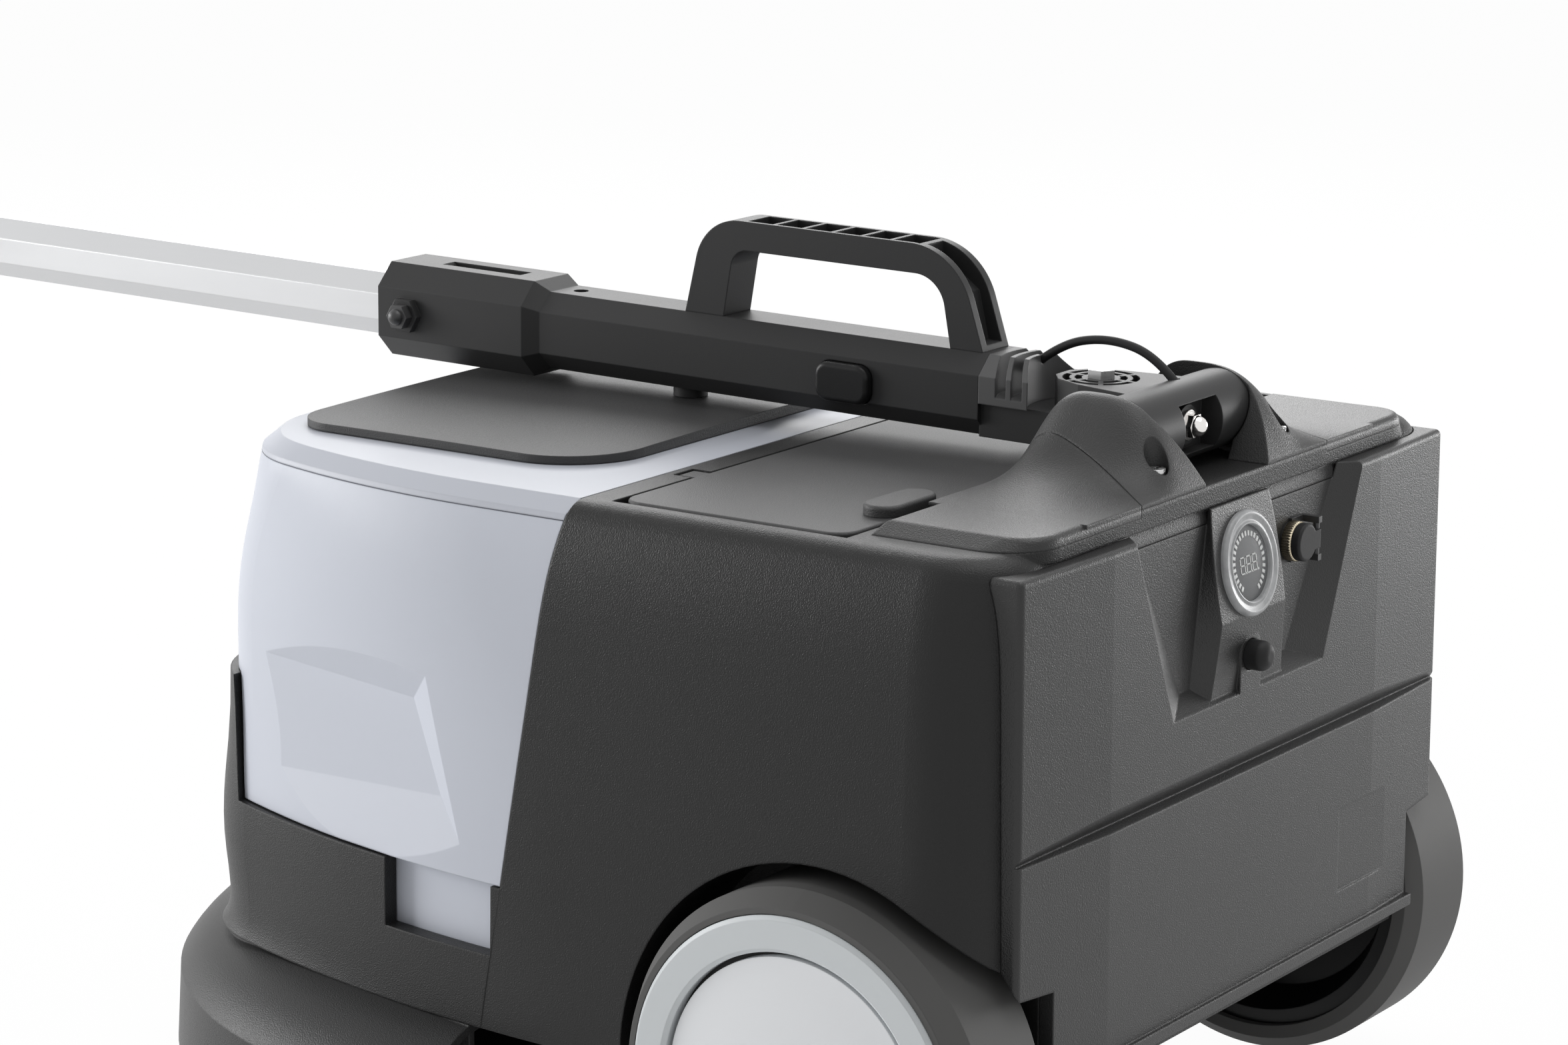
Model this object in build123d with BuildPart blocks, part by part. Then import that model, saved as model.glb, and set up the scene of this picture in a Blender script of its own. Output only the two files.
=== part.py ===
from build123d import *
import os
from math import acos, asin, atan, cos, degrees, pi, radians, sin, sqrt, tan

os.makedirs("parts", exist_ok=True)

# A walk-behind floor scrubber with its handle folded forward over the body.
# Millimetres; +Z up, the front is -Y, the machine's left side is +X.
# The origin is the centre of the scrub pad's underside, on the floor.

# Wheels and axle
wheel_radius = 100.0
wheel_width = 68.0
wheel_outer_x = 252.0
axle_y = 240.0
axle_radius = 10.0
tyre_depth = 14.0
tyre_shoulder = 7.0
trim_ring_outer = 89.5
trim_ring_inner = 72.0
trim_bevel = 2.0
hub_cap_radius = 69.5
hub_cap_dome = 3.0
face_recess = 8.0
web_recess = 22.0
hub_wall = 16.0
clip_radius = 15.0
clip_thick = 2.5
bracket_x = 140.0
bracket_width = 22.0
bracket_wall = 9.0
bracket_foot = 26.0
axle_room = 2.0
arch_gap = 9.0
wheel_side_gap = 8.0
well_wall = 4.0
running_gap = 0.05
face_gap = 0.4

# Body outline in plan: straight sides that bend in towards a round-cornered front, and rounded rear corners
hull_low_z = 92.0
deck_z = 358.0
hull_low_half = 235.0
# height, half width, where the sides start to bend, their radius there, and the front
hull_rows = [
    (hull_low_z, hull_low_half, 100.0, 720.0, -194.0),
    (230.0, 230.0, 80.0, 560.0, -188.0),
    (276.0, 228.5, 60.0, 476.0, -185.0),
    (322.0, 225.5, 40.0, 406.0, -168.0),
    (342.0, 220.5, 34.0, 440.0, -161.0),
    (deck_z, 213.0, 30.0, 480.0, -159.0),
]
hull_low_steps = 3
front_corner = 75.0
curve_growth = 16.0
hull_rear_y = 328.0
rear_corner = 40.0
top_edge_round = 14.0
shell_wall = 5.0
deck_wall = 12.0

# Front cradle that holds the tank
cradle_lip = 4.0
cradle_side_z = 165.0
cradle_front_z = 228.0
cradle_step_y = -148.0
cradle_front_y = -160.0
post_recess = 6.0
tank_gap = 0.8
tank_side_inset = 9.0
seam_low_y = 56.0
seam_low_z = 165.0
seam_high_y = 88.0
seam_high_z = 354.0
pocket_front_y = -23.0
pocket_rear_y = 50.0
pocket_low_z = 130.0

# Base plate, pad and shroud
plate_thick = 6.0
pad_radius = 215.0
pad_thick = 22.0
driver_thick = 16.0
driver_radius = 204.0
shroud_rim_radius = 271.0
shroud_rim_z = 65.0
shroud_low_radius = 273.5
shroud_low_z = 24.0
shroud_top_radius = 222.0
shroud_bend_radius = 252.0
shroud_bend_z = 84.0
shroud_flange_width = 67.0
riser_low_z = 78.0
shroud_wall = 4.0
shroud_rear_y = 36.0
apron_low_z = 6.0
apron_high_z = 62.0
apron_thick = 3.5
motor_radius = 62.0
motor_top_z = 196.0
motor_flange = 8.0
motor_nose_radius = 30.0
motor_nose_drop = 14.0
hub_radius = 26.0
hub_high = 22.0
shaft_radius = 9.0
shaft_reach = 50.0

# Squeegee behind the pad, and its suction pipe
squeegee_gap = 17.0
squeegee_end_gap = 7.0
squeegee_thick = 16.0
squeegee_low_z = 30.0
squeegee_high_z = 48.0
blade_thick = 3.0
blade_low_z = 0.4
float_travel = 12.0
port_inset = 29.0
port_radius = 19.0
port_wall = 3.0
port_top_z = 72.0
port_flange = 8.0
pipe_wall = 3.0
pipe_low_z = 65.0
pipe_top_z = 150.0
stud_turn = 23.0
stud_radius = 6.0
stud_foot_radius = 11.0
stud_spare = 6.0

# Machinery in the rear bay
battery_size = (120.0, 100.0, 150.0)
battery_inset = 135.0
battery_y = 132.0
vacuum_x = -100.0
vacuum_y = 126.0
vacuum_radius = 45.0
vacuum_top_z = 210.0
pump_size = (62.0, 38.0, 56.0)
pump_x = 70.0
pump_y = 298.0
terminal_radius = 7.0
terminal_high = 12.0

# Tank, cap and lids
tank_floor_z = 100.0
tank_wall = 16.0
motor_room = 10.0
scoop_crest = (6.0, 262.5)
scoop_tip = (28.5, 182.0)
scoop_front_high = (-129.0, 245.5)
scoop_front_low = (-100.0, 185.0)
scoop_flush = (-114.0, 215.0)
scoop_floor_high = (-12.0, 246.0)
scoop_floor_low = (6.5, 201.0)
scoop_depth = 10.0
scoop_low_depth = 6.0
cap_seam_z = 349.0
cap_bevel = 7.0
lid_half = 158.0
lid_front_y = -138.0
lid_rear_y = 57.0
lid_front_corner = 26.0
lid_rear_corner = 44.0
lid_seat = 0.4
lid_edge = 3.6
lid_crown = 2.6
lid_crown_run = 190.0
lid_lap = 14.0
seal_gap = 1.0
seal_width = 4.0
seal_depth = 6.0
service_half = 200.0
service_front_y = 106.0
service_rear_y = 236.0
service_thick = 5.6
service_proud = 0.6
service_gap = 2.2
service_corner = 12.0
service_ledge = 14.0
service_side_ledge = 30.0
service_hinge_x = 130.0
hinge_tab_width = 12.0
hinge_tab_run = 11.0
tab_x = 140.0
tab_length = 46.0
tab_width = 20.0
tab_thick = 5.5

# Rear platform, ears and fold pivot
platform_z = 364.0
platform_front_y = 244.0
ear_inner_x = 47.5
ear_rise = 41.0
ear_crest_y = 276.0
ear_front_run = 34.0
ear_rear_run = 52.0
ear_screw_x = 59.0
ear_screw_y = 317.0
ear_screw_z = 371.0
ear_screw_radius = 4.6
skirt_inner_x = 30.0
skirt_front_y = 306.0
skirt_top_z = 396.0
skirt_gap = 0.8
seam_gap = 0.5
ear_seam_front_x = 62.0
ear_seam_mid_x = 72.0
ear_seam_rear_x = 94.0
platform_half = 203.0
platform_slope = 22.0
flare_width = 22.0
flare_power = 2.4
flare_outer_x = 140.0
pocket_floor_z = 362.0
fold_y = 290.0
fold_z = 384.0
barrel_radius = 19.5
pin_radius = 5.0
pin_half = 60.0

# Handle, measured along its own axis (u), across it (x) and above it (v) from a point behind the fold pivot
handle_y = 302.0
handle_z = 387.0
handle_slope = 0.014
swivel_u = 51.0
tongue_gap = 0.8
swivel_radius = 22.0
bolt_radius = 5.0
bolt_head_radius = 7.5
bolt_head_high = 4.5
bolt_nut_radius = 10.0
bolt_nut_thick = 6.0
arm_low_v = -2.4
arm_high_v = 14.0
arm_root_half = 29.0
arm_hub_radius = 9.5
arm_ring_inner = 13.0
arm_ring_outer = 15.6
arm_pocket_radius = 19.0
arm_pocket_depth = 6.0
spoke_width = 2.4
window_half = 18.0
window_high = 12.5
window_floor = 7.0
cup_radius = 10.0
cup_high = 3.0
dome_washer_radius = 7.5
dome_washer_thick = 1.4
dome_radius = 5.3
dome_base = 4.0
sleeve_half = 22.0
sleeve_side = 11.0
sleeve_high = 20.5
sleeve_flat = 12.0
sleeve_rear_u = 108.0
sleeve_front_u = 382.0
tongue_low_v = -20.0
insert_reach = 36.0
insert_wall = 4.0
insert_rib = 2.6
insert_slot = 5.4
collar_front_u = 489.0
collar_half = 26.0
collar_side = 13.5
collar_high = 25.5
collar_flat = 14.5
shoulder_run = 9.0
slot_rear_u = 408.0
slot_front_u = 462.0
slot_half = 5.0
slot_depth = 4.0
sleeve_screw_u = 371.0
sleeve_screw_radius = 4.0
tube_flat = 34.0
tube_wall = 2.0
tube_rear_u = 210.0
tube_front_u = 1012.0
tube_gap = 0.3
clamp_u = 469.0
clamp_radius = 4.0
clamp_boss_radius = 10.0
clamp_boss_high = 4.0
clamp_head_radius = 7.0
clamp_head_high = 5.0
clamp_dome_radius = 4.4
grip_top_v = 71.0
grip_under_v = 56.0
grip_half = 12.0
leg_front_u = 294.0
leg_rear_u = 112.0
leg_front_foot = 24.0
leg_front_lean = 11.5
leg_front_inset = 30.0
leg_rear_foot = 19.0
leg_rear_lean = 17.0
leg_rear_inset = 26.0
grip_front_round = 27.0
grip_rear_round = 38.0
gap_front_round = 10.0
gap_rear_round = 18.0
grip_cells = 6
cell_half = 9.6
cell_depth = 8.0
cell_rib = 2.4
cells_rear_u = 152.0
cells_front_u = 259.0
channel_half = 7.0
button_u = 187.0
button_v = -2.0
button_length = 32.0
button_height = 20.0
button_proud = 5.0
button_round = 7.0
button_depth = 8.0
button_travel = 3.0
foot_u = 299.0
foot_radius = 9.0
foot_gap = 0.35
cable_radius = 2.2
cable_gap = 0.5

# Control head at the far end of the handle
head_half = 36.0
head_rear_u = 975.0
head_front_u = 1065.0
head_low_v = -25.0
head_high_v = 27.0
head_round = 12.0
bar_u = 1028.0
bar_v = 3.0
bar_radius = 13.0
bar_half = 195.0
grip_sleeve_radius = 16.5
grip_sleeve_inner_x = 74.0
lever_u = 985.0
lever_v = -14.0
lever_pin_radius = 6.0
lever_arm_x = 41.0
lever_arm_thick = 6.0
lever_arm_width = 16.0
lever_rod_u = 1075.0
lever_rod_v = -52.0
lever_rod_radius = 6.0
lever_rod_half = 150.0
power_u = 1002.0
power_radius = 10.0
power_proud = 3.0
power_depth = 9.0
power_travel = 2.5

# Rear cover
opening_half = 170.0
opening_low_z = 116.0
opening_top_z = 344.0
cover_low_z = 108.0
cover_top_z = 351.0
cover_half = 206.0
crease_x = 131.0
crease_drop = 3.5
pad_step = 10.0
pad_round = 3.0
vee_floor_half = (102.0, 52.0)
vee_edge_half = (112.0, 74.0)
vee_floor_z = 265.0
vee_edge_z = 257.0
groove_z = 218.0
groove_height = 9.0
groove_lip = 1.5
groove_depth = 6.0
boss_root_half = (28.0, 43.0)
boss_tip_half = (33.0, 24.0)
boss_reach = 18.0
boss_top_step = 2.0
boss_corner_step = 11.0
boss_corner_z = 296.0
boss_low_step = 7.5
tongue_half = 10.0
tongue_top_z = 276.0
label_x = -135.0
label_z = 151.0
label_width = 76.0
label_height = 44.0
label_depth = 0.8
lip_height = 6.0
lip_proud = 2.0

# Gauge, charging socket and push button on the rear cover
gauge_z = 320.0
gauge_radius = 26.0
gauge_window = 20.5
gauge_rim = 3.0
gauge_body_radius = 24.0
gauge_depth = 22.0
socket_x = -54.0
socket_z = 320.0
socket_radius = 9.5
socket_bore = 6.0
socket_proud = 6.0
socket_foot = 1.5
cap_thick = 4.5
cap_hinge_gap = 2.5
cap_pin_radius = 1.6
breaker_z = 275.0
boot_radius = 7.5
boot_proud = 11.0


def finish(piece, name):
    piece.part.label = name
    export_step(piece.part, "parts/" + name + ".step")


def box_between(low, high, mode=Mode.ADD):
    size = [b - a for a, b in zip(low, high)]
    middle = tuple((a + b) / 2 for a, b in zip(low, high))
    with Locations(middle):
        Box(*size, mode=mode)


# Extrudes a closed polygon drawn on a plane; corners may be rounded.
def prism(plane, points, amount, both=False, corner=0.0, mode=Mode.ADD):
    with BuildSketch(plane) as outline:
        with BuildLine():
            Polyline(*points, close=True)
        make_face()
        if corner:
            fillet(outline.vertices(), corner)
    extrude(outline.sketch, amount=amount, both=both, mode=mode)


# The row of the hull table at any height, straight between two of its rows.
def hull_row(height):
    pairs = list(zip(hull_rows, hull_rows[1:]))
    below, above = next((pair for pair in pairs if height <= pair[1][0]), pairs[-1])
    part = (height - below[0]) / (above[0] - below[0])
    return [a + (b - a) * part for a, b in zip(below, above)]


low_step = (hull_rows[1][0] - hull_low_z) / hull_low_steps
hull_levels = [hull_row(hull_low_z + index * low_step) for index in range(hull_low_steps)] + hull_rows[1:]


# Plan outline at one height, grown sideways, at the front and at the rear: half of it is drawn and mirrored.
def plan_face(height, measures, side_grow, nose_grow, rear_grow):
    half, bend_y, curve, front = measures
    half = half + side_grow
    front = front - nose_grow
    rear = hull_rear_y + rear_grow
    corner = front_corner + nose_grow
    curve = curve + side_grow + curve_growth * (nose_grow - side_grow)
    turn = asin((bend_y - front - corner) / (curve - corner))
    middle = (turn + pi / 2) / 2
    curve_x = half - curve
    corner_x = curve_x + (curve - corner) * cos(turn)
    corner_y = front + corner
    side_middle = (curve_x + curve * cos(turn / 2), bend_y - curve * sin(turn / 2))
    side_end = (curve_x + curve * cos(turn), bend_y - curve * sin(turn))
    corner_middle = (corner_x + corner * cos(middle), corner_y - corner * sin(middle))
    with BuildSketch(Plane.XY.offset(height)) as outline:
        with BuildLine() as half_line:
            Line((0, front), (corner_x, front))
            ThreePointArc((corner_x, front), corner_middle, side_end)
            ThreePointArc(side_end, side_middle, (half, bend_y))
            Line((half, bend_y), (half, rear - rear_corner))
            RadiusArc((half, rear - rear_corner), (half - rear_corner, rear), -rear_corner)
            Line((half - rear_corner, rear), (0, rear))
            mirror(half_line.line, about=Plane.YZ)
        make_face()
    return outline.sketch


# The common outer form of body and tank, grown sideways, at the nose and at the rear.
def hull(side_grow=0.0, nose_grow=0.0, rear_grow=0.0, mode=Mode.ADD):
    sections = []
    for height, *measures in hull_levels:
        sections.append(plan_face(height, measures, side_grow, nose_grow, rear_grow))
    loft(sections, mode=mode)


# The leaning plane between tank and body.
seam_lean = (seam_high_y - seam_low_y) / (seam_high_z - seam_low_z)


def seam_y(level):
    return seam_low_y + seam_lean * (level - seam_low_z)


# Works on all that lies before or behind the seam, between two heights.
def beyond_seam(shift, low, high, far_y, mode=Mode.SUBTRACT):
    points = [
        (seam_y(low) + shift, low),
        (far_y, low),
        (far_y, high),
        (seam_y(high) + shift, high),
    ]
    prism(Plane.YZ, points, 400, both=True, mode=mode)


def keep_between(low, high):
    box_between((-400, -400, high), (400, 500, high + 400), mode=Mode.SUBTRACT)
    box_between((-400, -400, low - 400), (400, 500, low), mode=Mode.SUBTRACT)


# Planes of the gauge on the leaning boss, and of the socket and the push button beside it
pad_y = hull_rear_y + pad_step
boss_top_y = hull_rear_y + boss_top_step
boss_corner_y = hull_rear_y + boss_corner_step
boss_lean = atan((boss_corner_y - boss_top_y) / (cover_top_z - boss_corner_z))
gauge_y = boss_top_y + (cover_top_z - gauge_z) * tan(boss_lean)
gauge_plane = Plane((0, gauge_y, gauge_z), x_dir=(-1, 0, 0), z_dir=(0, cos(boss_lean), sin(boss_lean)))
breaker_plane = Plane((0, pad_y, breaker_z), x_dir=(-1, 0, 0), z_dir=(0, 1, 0))
socket_plane = Plane((socket_x, hull_rear_y, socket_z), x_dir=(-1, 0, 0), z_dir=(0, 1, 0))

wheel_inner_x = wheel_outer_x - wheel_width
well_x = wheel_inner_x - wheel_side_gap
arch_radius = wheel_radius + arch_gap


def wheel_space(radius, inner_x, mode=Mode.SUBTRACT):
    length = wheel_outer_x + 60 - inner_x
    for side in (1, -1):
        with Locations(Location((side * (inner_x + length / 2), axle_y, wheel_radius), (0, 90, 0))):
            Cylinder(radius, length, mode=mode)



print("body shell")
with BuildPart() as lower_bay:
    hull(tank_gap - tank_side_inset, -post_recess, 0)
    keep_between(0, cradle_side_z)
    beyond_seam(0, 0, 600, 600)


# Works on all that lies below the cradle's rim, which rises at the front.
def below_rim(gap, mode):
    rim_line = [
        (600, cradle_side_z + gap),
        (cradle_step_y + gap, cradle_side_z + gap),
        (cradle_front_y + gap, cradle_front_z + gap),
        (-600, cradle_front_z + gap),
        (-600, hull_low_z),
        (600, hull_low_z),
    ]
    prism(Plane.YZ, rim_line, 400, both=True, mode=mode)


# The space for the cradle's raised front, outside a recess in the tank.
def post_space(gap):
    box_between((-400, -400, cradle_side_z + gap), (400, 0, cradle_front_z + 20))
    below_rim(gap, Mode.INTERSECT)
    hull(-post_recess - gap, -post_recess - gap, 0, mode=Mode.SUBTRACT)


with BuildPart() as front_post:
    post_space(0)

with BuildPart() as post_room:
    post_space(tank_gap)

with BuildPart() as tank_bay:
    hull(0, tank_gap, 0)
    keep_between(cradle_side_z, deck_z + 1)
    beyond_seam(0, 0, 600, 600)
    add(front_post.part, mode=Mode.SUBTRACT)
    add(lower_bay.part)

with BuildPart() as cradle:
    hull(0, cradle_lip, 0)
    beyond_seam(0, 0, 600, 600)
    below_rim(0, Mode.INTERSECT)

with BuildPart() as rear_cavity:
    hull(-shell_wall, -shell_wall, -shell_wall)
    keep_between(hull_low_z, deck_z - deck_wall)
    beyond_seam(shell_wall, 0, 600, -600)
    wheel_space(arch_radius + well_wall, well_x - well_wall)


# Height of an ear above the platform: a rounded crest along Y, flaring out sideways like a bell.
def ear_height(x, y):
    run = ear_rear_run if y > ear_crest_y else ear_front_run
    crest = max(0.0, 1 - abs((y - ear_crest_y) / run) ** 3)
    flare = 1 / (1 + (max(0.0, x - ear_inner_x) / flare_width) ** flare_power)
    edge = 1 / (1 + ((flare_outer_x - ear_inner_x) / flare_width) ** flare_power)
    return ear_rise * crest * (flare - edge) / (1 - edge)


ear_front_y = ear_crest_y - ear_front_run
ear_rear_y = ear_crest_y + ear_rear_run


def spread(low, high, count):
    return [low + (high - low) * i / (count - 1) for i in range(count)]


# The flared ear on one side, as a block from below the platform up to its curved top.
with BuildPart() as ear_form:
    rows = []
    for y in spread(ear_front_y, ear_rear_y, 19):
        across = spread(skirt_inner_x, flare_outer_x, 23)
        rows.append([(x, y, platform_z + ear_height(x, y)) for x in across])
    ear_top = Face.make_surface_from_array_of_points(rows)
    extrude(ear_top, amount=ear_rise, dir=(0, 0, -1))
    box_between((0, 0, 0), (300, 500, pocket_floor_z), mode=Mode.SUBTRACT)


# Plan of the seam between an ear and the body, on the left side.
def ear_plan(shift):
    with BuildSketch(Plane.XY) as outline:
        with BuildLine():
            start = (ear_seam_front_x - shift, ear_front_y - 5)
            middle = (ear_seam_mid_x - shift, (ear_front_y + ear_rear_y) / 2)
            end = (ear_seam_rear_x - shift, ear_rear_y + 5)
            ThreePointArc(start, middle, end)
            Polyline(
                end,
                (skirt_inner_x, ear_rear_y + 5),
                (skirt_inner_x, skirt_front_y),
                (ear_inner_x, skirt_front_y),
                (ear_inner_x, ear_front_y - 5),
                start,
            )
        make_face()
    return outline.sketch


with BuildPart() as platform:
    low_points = [
        (-platform_half, platform_front_y - 3),
        (platform_half, platform_front_y - 3),
        (platform_half, hull_rear_y),
        (-platform_half, hull_rear_y),
    ]
    top_half = platform_half - platform_slope
    top_points = [
        (-top_half, platform_front_y + 3),
        (top_half, platform_front_y + 3),
        (top_half, ear_rear_y),
        (-top_half, ear_rear_y),
    ]
    top_corner = rear_corner - platform_slope
    for level, points, corner in (
        (cover_top_z + face_gap, low_points, rear_corner),
        (platform_z, top_points, top_corner),
    ):
        with BuildSketch(Plane.XY.offset(level)) as platform_plan:
            with BuildLine():
                Polyline(*points, close=True)
            make_face()
            fillet(platform_plan.vertices().group_by(Axis.Y)[-1], corner)
    loft(ruled=True)
    fillet(platform.edges().group_by(Axis.Z)[-1], 4)
    add(ear_form.part)
    add(mirror(ear_form.part, Plane.YZ, mode=Mode.PRIVATE))

with BuildPart() as ear_zone:
    extrude(ear_plan(0), amount=100)
    mirror(about=Plane.YZ)
    box_between((-ear_inner_x, ear_front_y - 5, 0), (ear_inner_x, ear_rear_y + 5, 100))

# The rear deck rises on both sides of the ears; between them it stays a low floor on the shell.
with BuildPart() as deck_cheeks:
    add(platform.part)
    keep_between(deck_z, platform_z + 2 * ear_rise)
    with Locations((0, 0, deck_z)):
        add(ear_zone.part, mode=Mode.SUBTRACT)
finish(deck_cheeks, "deck_cheeks")

with BuildPart() as deck_base:
    add(platform.part)
    keep_between(0, pocket_floor_z)
    add(deck_cheeks.part, mode=Mode.SUBTRACT)


# Outline of the base plate, grown by a gap, between two heights.
def plate_form(gap, low, high):
    inset = gap - 2 * face_gap
    plan = plan_face(low, hull_rows[0][1:], inset - tank_side_inset, inset, inset - shell_wall)
    extrude(plan, amount=high - low)
    wheel_space(arch_radius + well_wall + face_gap - gap, well_x - well_wall - face_gap + gap)


# Places under the plate that follow the pad and the wheels
squeegee_radius = pad_radius + squeegee_gap
squeegee_end_y = axle_y - wheel_radius - squeegee_end_gap
squeegee_angle = degrees(acos(squeegee_end_y / squeegee_radius))
port_y = squeegee_radius - port_inset
stud_x = squeegee_radius * sin(radians(stud_turn))
stud_y = squeegee_radius * cos(radians(stud_turn))
battery_x = hull_low_half - battery_inset

plate_z = hull_low_z
plate_top_z = plate_z + plate_thick
motor_bay_radius = motor_radius + motor_room
with BuildPart() as plate_room:
    plate_form(face_gap, plate_z - 1, plate_top_z + face_gap)

with BuildPart() as body_shell:
    hull()
    fillet(body_shell.edges().group_by(Axis.Z)[-1], top_edge_round)
    beyond_seam(0, 0, 600, -600)
    add(deck_base.part)
    add(cradle.part)
    add(tank_bay.part, mode=Mode.SUBTRACT)
    add(rear_cavity.part, mode=Mode.SUBTRACT)
    wheel_space(arch_radius, well_x)
    # room for the base plate and the pad motor
    add(plate_room.part, mode=Mode.SUBTRACT)
    Cylinder(motor_bay_radius, 2 * (motor_top_z + motor_room), mode=Mode.SUBTRACT)
    # finger pockets under the tank
    for side in (1, -1):
        far_x = side * (hull_low_half + 10)
        near_x = side * (hull_low_half - tank_side_inset - 30)
        box_between(
            (min(far_x, near_x), pocket_front_y, pocket_low_z),
            (max(far_x, near_x), pocket_rear_y, cradle_side_z + 1),
            mode=Mode.SUBTRACT,
        )
    # seat, opening and hinge notches for the service lid
    seat_half = service_half + service_gap
    seat_z = deck_z - service_thick + service_proud - face_gap
    box_between(
        (-seat_half, service_front_y - service_gap, seat_z),
        (seat_half, service_rear_y + service_gap, deck_z + 20),
        mode=Mode.SUBTRACT,
    )
    box_between(
        (-service_half + service_side_ledge, service_front_y + service_ledge, deck_z - 3 * deck_wall),
        (service_half - service_side_ledge, service_rear_y - service_ledge, deck_z + 20),
        mode=Mode.SUBTRACT,
    )
    for side in (1, -1):
        notch_half = hinge_tab_width / 2 + service_gap
        box_between(
            (side * service_hinge_x - notch_half, service_front_y - hinge_tab_run - service_gap, seat_z),
            (side * service_hinge_x + notch_half, service_front_y, deck_z + 20),
            mode=Mode.SUBTRACT,
        )
    # passage for the axle and the opening behind the rear cover
    with Locations(Location((0, axle_y, wheel_radius), (0, 90, 0))):
        Cylinder(axle_radius + 1, 2 * hull_low_half + 20, mode=Mode.SUBTRACT)
    box_between(
        (-opening_half, hull_rear_y - shell_wall - 1, opening_low_z),
        (opening_half, hull_rear_y + 1, opening_top_z),
        mode=Mode.SUBTRACT,
    )
finish(body_shell, "body_shell")

print("ears")
with BuildPart() as ear_left:
    add(ear_form.part)
    extrude(ear_plan(seam_gap), amount=1000, mode=Mode.INTERSECT)
    # the skirt behind the barrel leans away from it
    skirt_lean = [
        (0, pocket_floor_z),
        (skirt_inner_x, pocket_floor_z),
        (ear_inner_x, skirt_top_z),
        (ear_inner_x, 2 * skirt_top_z),
        (0, 2 * skirt_top_z),
    ]
    prism(Plane.XZ, skirt_lean, 2 * ear_rear_y, both=True, mode=Mode.SUBTRACT)
    with Locations(Location((0, fold_y, fold_z), (0, 90, 0))):
        Cylinder(barrel_radius + skirt_gap, 2 * ear_inner_x, mode=Mode.SUBTRACT)
        Cylinder(pin_radius + running_gap, 2 * pin_half + 0.6, mode=Mode.SUBTRACT)
    with Locations((ear_screw_x, ear_screw_y, ear_screw_z + 50)):
        Cylinder(ear_screw_radius + 1.4, 100, mode=Mode.SUBTRACT)
finish(ear_left, "ear_left")

with BuildPart() as ear_right:
    mirror(ear_left.part, Plane.YZ)
finish(ear_right, "ear_right")

with BuildPart() as ear_screws:
    for side in (1, -1):
        with Locations((side * ear_screw_x, ear_screw_y, ear_screw_z + 2)):
            Cylinder(ear_screw_radius, 4)
        with Locations((side * ear_screw_x, ear_screw_y, ear_screw_z + 4)):
            Box(2 * ear_screw_radius, 1.4, 2.4, mode=Mode.SUBTRACT)
            Box(1.4, 2 * ear_screw_radius, 2.4, mode=Mode.SUBTRACT)
finish(ear_screws, "ear_screws")

with BuildPart() as pivot_pin:
    with Locations(Location((0, fold_y, fold_z), (0, 90, 0))):
        Cylinder(pin_radius, 2 * pin_half)
    chamfer(pivot_pin.edges().filter_by(GeomType.CIRCLE), 0.8)
finish(pivot_pin, "pivot_pin")

print("rear cover")


# A trapezoid standing across the machine at one depth: half widths at its top and bottom.
def rear_trapezoid(depth, halves, low_z, top_z):
    with BuildSketch(Plane.XZ.offset(-depth)) as outline:
        with BuildLine():
            Polyline(
                (-halves[0], top_z),
                (halves[0], top_z),
                (halves[1], low_z),
                (-halves[1], low_z),
                close=True,
            )
        make_face()
    return outline.sketch


with BuildPart() as gauge_boss:
    loft(
        [
            rear_trapezoid(hull_rear_y, boss_root_half, vee_edge_z, cover_top_z),
            rear_trapezoid(hull_rear_y + boss_reach, boss_tip_half, vee_edge_z, cover_top_z),
        ],
        ruled=True,
    )
    boss_side = [
        (hull_rear_y, cover_top_z),
        (boss_top_y, cover_top_z),
        (boss_corner_y, boss_corner_z),
        (hull_rear_y + boss_low_step, vee_edge_z),
        (hull_rear_y, vee_edge_z),
    ]
    prism(Plane.YZ, boss_side, hull_low_half, both=True, mode=Mode.INTERSECT)
    # arched tongue that carries the push button
    box_between((-tongue_half, hull_rear_y, vee_edge_z), (tongue_half, pad_y, tongue_top_z))
    with BuildSketch(Plane.XZ.offset(-hull_rear_y)) as tongue_arch:
        with Locations((0, tongue_top_z)):
            Circle(tongue_half)
    extrude(tongue_arch.sketch, amount=-pad_step)

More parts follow.
